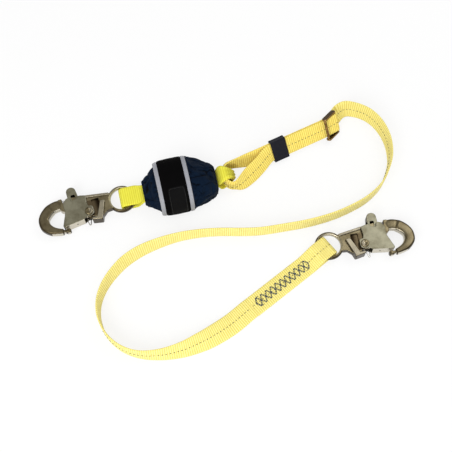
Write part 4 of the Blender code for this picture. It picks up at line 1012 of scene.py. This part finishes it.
# Free web from the adjuster to the sewn eye
level_low = WEB_THICKNESS / 2 + FLOOR_GAP
level_high = level_low + LAYER_STEP
free = [station(on_leg(ADJUSTER_AT, u * MM, n * MM, a * MM), LEG_TILT + extra)
        for u, n, a, extra in ((3.5, -8.9, 0, 0), (8.5, -11.9, 0, 2), (13, -14.3, 0.3, 4), (19, -16.2, 3, 9))]
for x, y, lean in FREE_ROUTE:
    tilt = math.radians(lean)
    height = WEB_WIDTH / 2 * math.sin(tilt) + WEB_THICKNESS / 2 * abs(math.cos(tilt)) + FLOOR_GAP
    free.append(station(Vector((x * MM, y * MM, height)) + PLAN_SHIFT, lean))
join = EYE_B + strap_along * EYE_TAIL + UP * level_high
free += [station(join + strap_along * 6 * MM, 3), station(join, 0)]
free_samples = smooth_route(free, WEB_SAMPLE)
travelled = np.arange(len(free_samples)) * WEB_SAMPLE
main = Ribbon(free_samples[:, :3], leaning_across(free_samples, 1 - travelled / FREE_EASING))
main_piece = piece("main_ribbon", main.mesh(), yellow, ["main_web"], angle=0)
main_thread = stitches(main, tracer_runs(2 * MM, main.length), 1, TRACER_RADIUS)
main_tracer = piece("main_tracer", main_thread, tracer_thread)

# Sewn eye at hook B: over the eye's bar, round the bight and back under itself
profile = [(EYE_TAIL, level_high), (90 * MM, level_high), (60 * MM, level_high), (42 * MM, level_high),
           (36 * MM, level_high + 0.8 * MM), (28 * MM, level_high + 4.6 * MM),
           (clear + 2 * MM, over - 0.8 * MM), (clear - 1 * MM, over), (8 * MM, over)]
profile += bight
profile += [(8 * MM, under), (clear, under), (clear + 4 * MM, under - 0.6 * MM),
            (clear + 11 * MM, level_low + 0.4 * MM), (clear + 16 * MM, level_low), (60 * MM, level_low),
            (90 * MM, level_low), (EYE_TAIL, level_low)]
loop_b = upright_ribbon(EYE_B, strap_along, profile, phase=main.length)


def thread_line(points):
    """Stitches along straight runs between points of distance along and share across."""
    runs = []
    for (s0, a0), (s1, a1) in zip(points, points[1:]):
        reach = math.hypot(s1 - s0, (a1 - a0) * WEB_WIDTH / 2)
        count = max(1, round(reach / STITCH_LENGTH))
        half_gap = STITCH_GAP / STITCH_LENGTH / 2
        for i in range(count):
            ends = ((i + half_gap) / count, (i + 1 - half_gap) / count)
            near, far = [(s0 + (s1 - s0) * t, a0 + (a1 - a0) * t) for t in ends]
            runs.append(near + far)
    return runs


def diamond_stitching():
    """Two crossing zigzags with a pointed end box at each end, sewn twice."""
    first = EYE_TAIL - STITCH_END
    step = (STITCH_END - STITCH_START) / (DIAMONDS + 1)
    runs = []
    for sign in (1, -1):
        for shift in (0.0, STITCH_SHIFT):
            points = [(first + shift, 0.0)]
            for i in range(2 * (DIAMONDS + 1)):
                share = DIAMOND_SHARE * math.sin(math.pi * (i + 1) / 2) * sign
                points.append((first + 0.5 * step * (i + 1) + shift, share))
            runs += thread_line(points)
    for end, inward in ((first, 1), (first + (DIAMONDS + 1) * step, -1)):
        for sign in (1, -1):
            runs += thread_line([(end, 0.0), (end + inward * 0.45 * step, sign * DIAMOND_SHARE),
                                 (end + inward * 1.05 * step, sign * DIAMOND_SHARE * 0.98)])
    return runs


loop_b_threads = [
    ("hook_b_stitching", diamond_stitching(), THREAD_RADIUS, slate_thread),
    ("hook_b_tracer", tracer_runs(1.2 * MM, EYE_TAIL + 6 * MM), TRACER_RADIUS, tracer_thread),
]
loop_b_pieces = [piece("hook_b_web", loop_b.mesh(), yellow, ["hook_b_loop"], None, angle=0)]
for name, runs, radius, finish in loop_b_threads:
    loop_b_pieces.append(piece(name, stitches(loop_b, runs, -1, radius), finish, body=None))
for made in loop_b_pieces:
    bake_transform(made)


# Energy absorber pack, in a frame at its middle with X along its length

pack_middle = EYE_A + pack_along * (PACK_REACH + PACK_LENGTH / 2)
pack_frame = Matrix.Translation(pack_middle) @ Matrix.Rotation(math.radians(PACK_TURN), 4, "Z")
PACK_SHAPE = np.array([
    (-1.0, 0.0, 0.0), (-0.93, 0.16, 0.14), (-0.82, 0.40, 0.36), (-0.66, 0.67, 0.64), (-0.45, 0.89, 0.86),
    (-0.2, 0.98, 0.97), (0.05, 1.0, 1.0), (0.28, 0.95, 0.96), (0.48, 0.80, 0.84), (0.66, 0.57, 0.63),
    (0.82, 0.31, 0.37), (0.93, 0.13, 0.16), (1.0, 0.0, 0.0)])
cover_outer = -BAND_THICKNESS - SEAT_GAP
cover_inner = cover_outer - COVER_THICKNESS
mouth_wide = MOUTH_PINCH * WEB_WIDTH / 2 + 1.2 * MM - cover_inner
mouth_high = LAYER_STEP + WEB_THICKNESS / 2 + 1.2 * MM - cover_inner
PACK_CENTRE = PACK_HEIGHT * 0.36


def shape_at(share, column):
    """Smooth reading of the pack's table of shares."""
    near = share + np.linspace(-0.06, 0.06, 7)
    return float(np.mean(np.interp(near, PACK_SHAPE[:, 0], PACK_SHAPE[:, column])))


def pack_point(along, turn, grow, flare=0.0):
    """Point on the pack at a place along it and an angle round it, grown outwards by an amount.

    A flare widens it at the sides and the top but not where it lies on the floor.
    """
    share = along / (PACK_LENGTH / 2)
    wide = mouth_wide + shape_at(share, 1) * (PACK_WIDTH / 2 - mouth_wide) + grow + flare
    full = shape_at(share, 2)
    middle = PACK_MOUTH_HEIGHT + full * (PACK_CENTRE - PACK_MOUTH_HEIGHT)
    c = math.cos(turn)
    s = math.sin(turn)
    rise = PACK_CENTRE if s <= 0 else PACK_HEIGHT - PACK_CENTRE
    high = mouth_high + full * (rise - mouth_high) + grow + (flare if s > 0 else 0.0)
    power = (2.4 if s > 0 else 3.4) + 3 * max(0.0, 1 - 2.5 * full)
    height = middle + signed_power(s, 2 / power) * high
    return Vector((along, signed_power(c, 2 / power) * wide, max(height, FLOOR_GAP)))


def band_flare(along):
    """The stiff band stands off the cover where the cover draws in towards the hook end."""
    return BAND_FLARE * max(0.0, along / BAND_START) ** 1.6


def gathers(along, turn):
    """First height of the cover's folds, which fan out from each mouth."""
    height = 0.0
    ends = ((-PACK_LENGTH / 2, BAND_START, 13, 3.0), (PACK_LENGTH / 2, BAND_END, 17, 9.0))
    for end, inner, count, seed in ends:
        near = abs(along - end) / abs(inner - end)
        if (along - inner) * (end - inner) <= 0 or near > 1:
            continue
        around = Vector((math.cos(turn), math.sin(turn), 0))
        drift = 1.5 * noise.noise(around * 1.4 + UP * seed)
        drift += 0.5 * near * noise.noise(around * 3 + UP * (seed + near * 2))
        reach = 0.62 + 0.5 * noise.noise(around * 2.8 + UP * (seed + 5))
        fade = max(0.0, 1 - near / (reach + 0.3)) ** 0.7
        ridge = abs(math.sin(turn * count / 2 + drift * 2.6)) ** 0.7
        height += GATHER_HEIGHT * fade * (ridge - 0.62)
        fold = noise.noise(Vector((along / (11 * MM), math.cos(turn) * 2.4, math.sin(turn) * 2.4 + seed)))
        height += DRAPE_HEIGHT * fold * min(1.0, (1 - near) * 3)
        if end > 0:
            height += COVER_PUFF * (1 + max(0.0, -around.x)) * near ** 0.5 * (1 - near) ** 0.9
    return height


def settled_cloth(rest, held):
    """Cloth tube let loose from its rest grid: wider than its held rings, so it buckles into gathers."""
    count, around = rest.shape[:2]
    loose = shown("cloth", mesh_from(rest.reshape(-1, 3), loft_faces(count, around, False)[:-2]))
    group = loose.vertex_groups.new(name="held")
    group.add([i * around + j for i in range(count) if held[i] for j in range(around)], 1.0, "REPLACE")
    cloth = loose.modifiers.new("cloth", "CLOTH")
    settings = {
        "quality": 6, "mass": 0.2, "tension_stiffness": 20, "compression_stiffness": 20, "shear_stiffness": 8,
        "bending_stiffness": 0.05, "shrink_min": -COVER_FULLNESS, "use_pressure": True,
        "uniform_pressure_force": 3, "vertex_group_mass": "held",
    }
    for key, value in settings.items():
        setattr(cloth.settings, key, value)
    cloth.settings.effector_weights.gravity = 0
    cloth.point_cache.frame_start = 1
    cloth.point_cache.frame_end = CLOTH_FRAMES
    scene = bpy.context.scene
    for step in range(1, CLOTH_FRAMES + 1):
        scene.frame_set(step)
    shape = bpy.data.meshes.new_from_object(loose.evaluated_get(bpy.context.evaluated_depsgraph_get()))
    places = np.array([v.co for v in shape.vertices]).reshape(rest.shape)
    bpy.data.objects.remove(loose)
    scene.frame_set(1)
    move = places - rest
    reach = np.linalg.norm(move, axis=2, keepdims=True) + 1e-9
    return rest + move / reach * COVER_CAP * np.tanh(reach / COVER_CAP)


def grid_normals(grid):
    """Outward direction at each point of a tube's grid of rings."""
    ahead = np.gradient(grid, axis=0)
    around = np.roll(grid, -1, axis=1) - np.roll(grid, 1, axis=1)
    out = np.cross(around, ahead)
    return out / np.linalg.norm(out, axis=2, keepdims=True)


def pack_cover():
    """Gathered cloth sleeve: slack on both sides of the band, drawn in at each mouth, with painted shade in
    the hollows of its creases.
    """
    along = np.linspace(-PACK_LENGTH / 2, PACK_LENGTH / 2, COVER_ROWS)
    turns = 2 * math.pi * (np.arange(COVER_AROUND) + 0.5) / COVER_AROUND
    rest = np.array([[pack_point(at, turn, cover_outer + gathers(at, turn)) for turn in turns]
                     for at in along])
    held = (along > BAND_START + 1 * MM) & (along < BAND_END - 1 * MM)
    held[:2] = True
    held[-2:] = True
    outer = settled_cloth(rest, held)
    outer[..., 2] = np.maximum(outer[..., 2], FLOOR_GAP)
    out = grid_normals(outer)
    # Hollows between the folds get painted shade.
    near = np.roll(outer, 3, axis=1) + np.roll(outer, -3, axis=1)
    hollow = ((near / 2 - outer) * out).sum(axis=2)
    crease_shade_shares = np.clip(hollow / CREASE_DEPTH, 0, 1)
    inner = outer - out * COVER_THICKNESS * 0.7
    inner[..., 2] = np.maximum(inner[..., 2], 0.6 * MM)
    rings = np.concatenate([outer, inner[::-1]])
    made = loft(list(rings), closed=True)
    shares = np.concatenate([crease_shade_shares, crease_shade_shares[::-1]]).ravel().astype(np.float32)
    made.attributes.new("painted_crease_shade", "FLOAT", "POINT").data.foreach_set("value", shares)
    return made


def pack_sleeve(start, end, steps, lift):
    """Band round the pack with rounded rims and slight unevenness."""
    places = np.linspace(start, end, steps + 1)
    rows = [(at, lift - (SLEEVE_RIM if i in (0, steps) else 0)) for i, at in enumerate(places)]
    rows += [(at, lift - BAND_THICKNESS) for at in places[::-1]]
    rings = []
    for at, grow in rows:
        ring = []
        for i in range(SLEEVE_AROUND):
            turn = 2 * math.pi * (i + 0.5) / SLEEVE_AROUND
            uneven = noise.noise(Vector((at / (16 * MM), math.cos(turn) * 2, math.sin(turn) * 2)))
            ring.append(pack_point(at, turn, grow + SLEEVE_RIPPLE * uneven, band_flare(at)))
        rings.append(ring)
    return loft(rings, closed=True)


cover = piece("pack_cloth", pack_cover(), navy, ["pack_cover"], matrix=pack_frame, angle=0)
first_edge = BAND_START + TRIM_WIDTH
last_edge = BAND_END - TRIM_WIDTH
sleeves = [
    ("band_cloth", first_edge + SEAT_GAP, last_edge - SEAT_GAP, 30, 0.0, black, "black_web", "label_band"),
    ("trim_hook_end", BAND_START, first_edge, 8, TRIM_LIFT, grey, "grey_trim", "band_trim_hook_end"),
    ("trim_strap_end", last_edge, BAND_END, 8, TRIM_LIFT, grey, "grey_trim", "band_trim_strap_end"),
]
for name, start, end, steps, lift, finish, slot, node in sleeves:
    piece(name, pack_sleeve(start, end, steps, lift), finish, [node], matrix=pack_frame)


# Blank patch sewn on the front of the band

PATCH_RIM = [(i, 0) for i in range(PATCH_ROWS)] + [(PATCH_ROWS, j) for j in range(PATCH_COLUMNS)]
PATCH_RIM += [(PATCH_ROWS - i, PATCH_COLUMNS - j) for i, j in PATCH_RIM]


def patch_grid(lift, inset=0.0):
    """Points over the patch with rounded corners, as rows along the pack."""
    rows = []
    for i in range(PATCH_ROWS + 1):
        u = 2 * i / PATCH_ROWS - 1
        row = []
        for j in range(PATCH_COLUMNS + 1):
            v = 2 * j / PATCH_COLUMNS - 1
            along = (PATCH_MIDDLE + (PATCH_HALF_LENGTH - inset) * u * (1 - PATCH_CORNER * v ** 8)) * MM
            reach = (PATCH_HALF_TURN - 2 * inset) * v * (1 - PATCH_CORNER * u ** 8)
            turn = math.radians(PATCH_TURN + reach)
            row.append(pack_point(along, turn, lift, band_flare(along)))
        rows.append(row)
    return rows


def patch_mesh():
    """Thin pad with its rim turned down onto the band."""
    verts = [p for lift in (0.55 * MM, -0.1 * MM) for row in patch_grid(lift) for p in row]
    half = len(verts) // 2
    count = PATCH_COLUMNS + 1
    faces = []
    for i in range(PATCH_ROWS):
        for j in range(PATCH_COLUMNS):
            a = i * count + j
            faces.append((a, a + 1, a + count + 1, a + count))
            faces.append((half + a, half + a + count, half + a + count + 1, half + a + 1))
    rim = [i * count + j for i, j in PATCH_RIM]
    faces += [(a, b, half + b, half + a) for a, b in zip(rim, rim[1:] + rim[:1])]
    return mesh_from(verts, faces)


def patch_thread():
    """Stitches a little inside the patch's rim."""
    grid = patch_grid(0.6 * MM, 1.2)
    rim = [grid[i][j] for i, j in PATCH_RIM]
    radii = [0.22 * MM * swell for swell in (0.4, 0.9, 1.0, 0.9, 0.4)]
    shares = (0.08, 0.25, 0.5, 0.75, 0.92)
    return threads([([a.lerp(b, t) for t in shares], radii) for a, b in zip(rim, rim[1:] + rim[:1])], 6)


piece("band_patch", patch_mesh(), patch_cloth, matrix=pack_frame, angle=50)
piece("band_patch_thread", patch_thread(), dark_thread, matrix=pack_frame)


# Tear web: folded back and forth inside the pack, its tails between the layers of the end loops
fold_step = LAYER_STEP + 0.6 * MM
tear = [(-PACK_LENGTH / 2 + 3 * MM, PACK_MOUTH_HEIGHT)]
for i in range(TEAR_RUNS):
    height = PACK_MOUTH_HEIGHT + i * fold_step
    side = 1 if i % 2 == 0 else -1
    tear.append((-side * (TEAR_HALF_LENGTH if i else 1.2 * TEAR_HALF_LENGTH), height))
    if i < TEAR_RUNS - 1:
        tear.append((side * TEAR_HALF_LENGTH, height))
        tear += [(side * (TEAR_HALF_LENGTH + r), height + z)
                 for r, z in bend((0, fold_step / 2), fold_step / 2, -60, 60, 4)]
top = PACK_MOUTH_HEIGHT + (TEAR_RUNS - 1) * fold_step
tear += [(TEAR_HALF_LENGTH - 6 * MM, top), (TEAR_HALF_LENGTH, top - 0.6 * MM),
         (TEAR_HALF_LENGTH + 5 * MM, top - 4.6 * MM),
         (TEAR_HALF_LENGTH + 10 * MM, PACK_MOUTH_HEIGHT + 1.6 * MM),
         (TEAR_HALF_LENGTH + 13 * MM, PACK_MOUTH_HEIGHT + 0.2 * MM),
         (PACK_LENGTH / 2 - 3 * MM, PACK_MOUTH_HEIGHT)]
tear_ribbon = upright_ribbon(pack_middle, pack_along, tear)
piece("tear_ribbon", tear_ribbon.mesh(), raw_white, ["tear_web"], angle=0)

# Keeper sleeve over both layers of the leg
axes = Matrix((leg_along, leg_across, leg_up)).transposed().to_4x4()
hole_wide = WEB_WIDTH / 2 + SEAT_GAP + 0.2 * MM
hole_high = ply + WEB_THICKNESS / 2 + SEAT_GAP + 0.1 * MM


def keeper_mesh():
    half = KEEPER_LENGTH / 2
    lip = [(half, 0.5, 1.1), (half - 0.15 * MM, 0.22, 1.2), (half - 0.5 * MM, 0, 1.3),
           (half * 0.4, 0.06, 1.3)]
    lips = [(-at, trim, corner) for at, trim, corner in lip] + [(0, 0.1, 1.3)] + lip[::-1]
    rows = [(at, KEEPER_WALL - trim * MM, corner * MM) for at, trim, corner in lips]
    rows += [(half, 0.15 * MM, 0.6 * MM), (half - 0.3 * MM, 0, 0.6 * MM), (-half + 0.3 * MM, 0, 0.6 * MM),
             (-half, 0.15 * MM, 0.6 * MM)]
    rings = []
    for at, wall, corner in rows:
        wide = hole_wide + wall
        high = hole_high + wall
        outline = rounded([(x * wide, y * high, corner) for x, y in SQUARE])
        rings.append([Vector((at, u, v)) for u, v in outline])
    return loft(rings, closed=True)


keeper_place = Matrix.Translation(KEEPER_AT) @ axes
piece("keeper_sleeve", keeper_mesh(), rubber, ["keeper"], "keeper", keeper_place)

# Adjuster: a frame of two bars and two side plates, with a friction bar between them
frame_along = leg_along * math.cos(ADJUSTER_TILT) - leg_up * math.sin(ADJUSTER_TILT)
frame_up = leg_along * math.sin(ADJUSTER_TILT) + leg_up * math.cos(ADJUSTER_TILT)
axes = Matrix((frame_along, leg_across, frame_up)).transposed().to_4x4()
adjuster_place = Matrix.Translation(ADJUSTER_AT) @ axes
inner_half = WEB_WIDTH / 2 + 1.0 * MM
side_length = bar_reach + ADJUSTER_BAR / 2 + 0.6 * MM
bar_drop = on_leg(ADJUSTER_AT, 0, -2.95 * MM) - ADJUSTER_AT
bar_place = (bar_drop.dot(frame_along), bar_drop.dot(frame_up))


def side_plate(sign):
    corners = [(x * side_length, y * ADJUSTER_SIDE_HEIGHT / 2, 2.6 * MM) for x, y in SQUARE]
    plate = prism(rounded(corners), inner_half, inner_half + ADJUSTER_SIDE, 0.6 * MM)
    plate.transform(Matrix(((1, 0, 0, 0), (0, 0, sign, 0), (0, 1, 0, 0), (0, 0, 0, 1))))
    return mesh_from([v.co.copy() for v in plate.vertices], [tuple(p.vertices) for p in plate.polygons])


def cross_bar(x, z, radius, half_length):
    return wire([(x, -half_length, z), (x, half_length, z)], radius, 32)


bars = [cross_bar(x, 0, ADJUSTER_BAR / 2, inner_half + ADJUSTER_SIDE / 2) for x in (-bar_reach, bar_reach)]
bar_grip = ADJUSTER_SIDE * 0.4
bar_hole = cross_bar(*bar_place, FRICTION_BAR / 2 + SEAT_GAP, inner_half + bar_grip + 2 * SEAT_GAP)
plate = joined(joined(side_plate(1), bars + [side_plate(-1)], "UNION"), [bar_hole], "DIFFERENCE")
# The side plates' outer walls get painted shade.
plate_wall_shade = [0.85 * (abs(face.normal.y) > 0.9) for face in plate.polygons]
plate.attributes.new("painted_shade", "FLOAT", "FACE").data.foreach_set("value", plate_wall_shade)
rod = cross_bar(*bar_place, FRICTION_BAR / 2, inner_half + bar_grip)
piece("adjuster_plate", plate, bronze, ["adjuster_frame"], matrix=adjuster_place)
piece("adjuster_rod", rod, bronze, ["adjuster_bar"], matrix=adjuster_place)


# Stage: pale floor, soft light and the camera

def make_floor():
    mesh = mesh_from([(x * FLOOR_REACH, y * FLOOR_REACH, 0) for x, y in SQUARE], [(0, 1, 2, 3)])
    s = Shader("floor", FLOOR_COLOUR, 1.0)
    s.tree.nodes.remove(s.tree.nodes["Principled BSDF"])
    path = s.add("ShaderNodeLightPath").outputs
    rays = s.maths("MAXIMUM", path["Is Camera Ray"], path["Is Glossy Ray"])
    rays = s.maths("MAXIMUM", rays, path["Is Transmission Ray"])
    lit = s.add("ShaderNodeBsdfDiffuse", {"Color": FLOOR_COLOUR}).outputs[0]
    glow = s.add("ShaderNodeEmission", {"Strength": 1.0}).outputs[0]
    mix = s.add("ShaderNodeMixShader", {0: s.maths("MULTIPLY", rays, FLOOR_GLOW), 1: lit, 2: glow})
    s.put(s.tree.nodes["Material Output"].inputs["Surface"], mix.outputs[0])
    mesh.materials.append(s.material)
    shown("floor", mesh)


def make_light(name, place, size, power):
    lamp = bpy.data.lights.new(name, "AREA")
    lamp.size = size
    lamp.energy = power
    made = shown(name, lamp)
    made.location = place
    made.rotation_euler = Vector(place).to_track_quat("Z", "Y").to_euler()


def make_world():
    world = bpy.data.worlds.new("studio")
    bpy.context.scene.world = world
    world.use_nodes = True
    tree = world.node_tree
    where = tree.nodes.new("ShaderNodeTexCoord")
    split = tree.nodes.new("ShaderNodeSeparateXYZ")
    ramp = tree.nodes.new("ShaderNodeValToRGB")
    sky = tree.nodes["Background"].inputs
    set_stops(ramp, [(at, (level, level, level)) for at, level in WORLD_STOPS])
    tree.links.new(where.outputs["Generated"], split.inputs[0])
    tree.links.new(split.outputs[2], ramp.inputs["Fac"])
    tree.links.new(ramp.outputs["Color"], sky["Color"])
    sky["Strength"].default_value = WORLD_STRENGTH


def make_camera():
    data = bpy.data.cameras.new("camera")
    data.lens = CAMERA_LENS
    data.sensor_width = CAMERA_SENSOR
    camera = shown("camera", data)
    back = Vector((0, -math.cos(CAMERA_ELEVATION), math.sin(CAMERA_ELEVATION)))
    camera.location = PLAN_SHIFT + back * CAMERA_DISTANCE
    camera.rotation_euler = back.to_track_quat("Z", "Y").to_euler()
    bpy.context.scene.camera = camera


make_floor()
for name, settings in LAMPS.items():
    make_light(name, *settings)
make_world()
make_camera()
bpy.context.scene.view_settings.view_transform = "Standard"
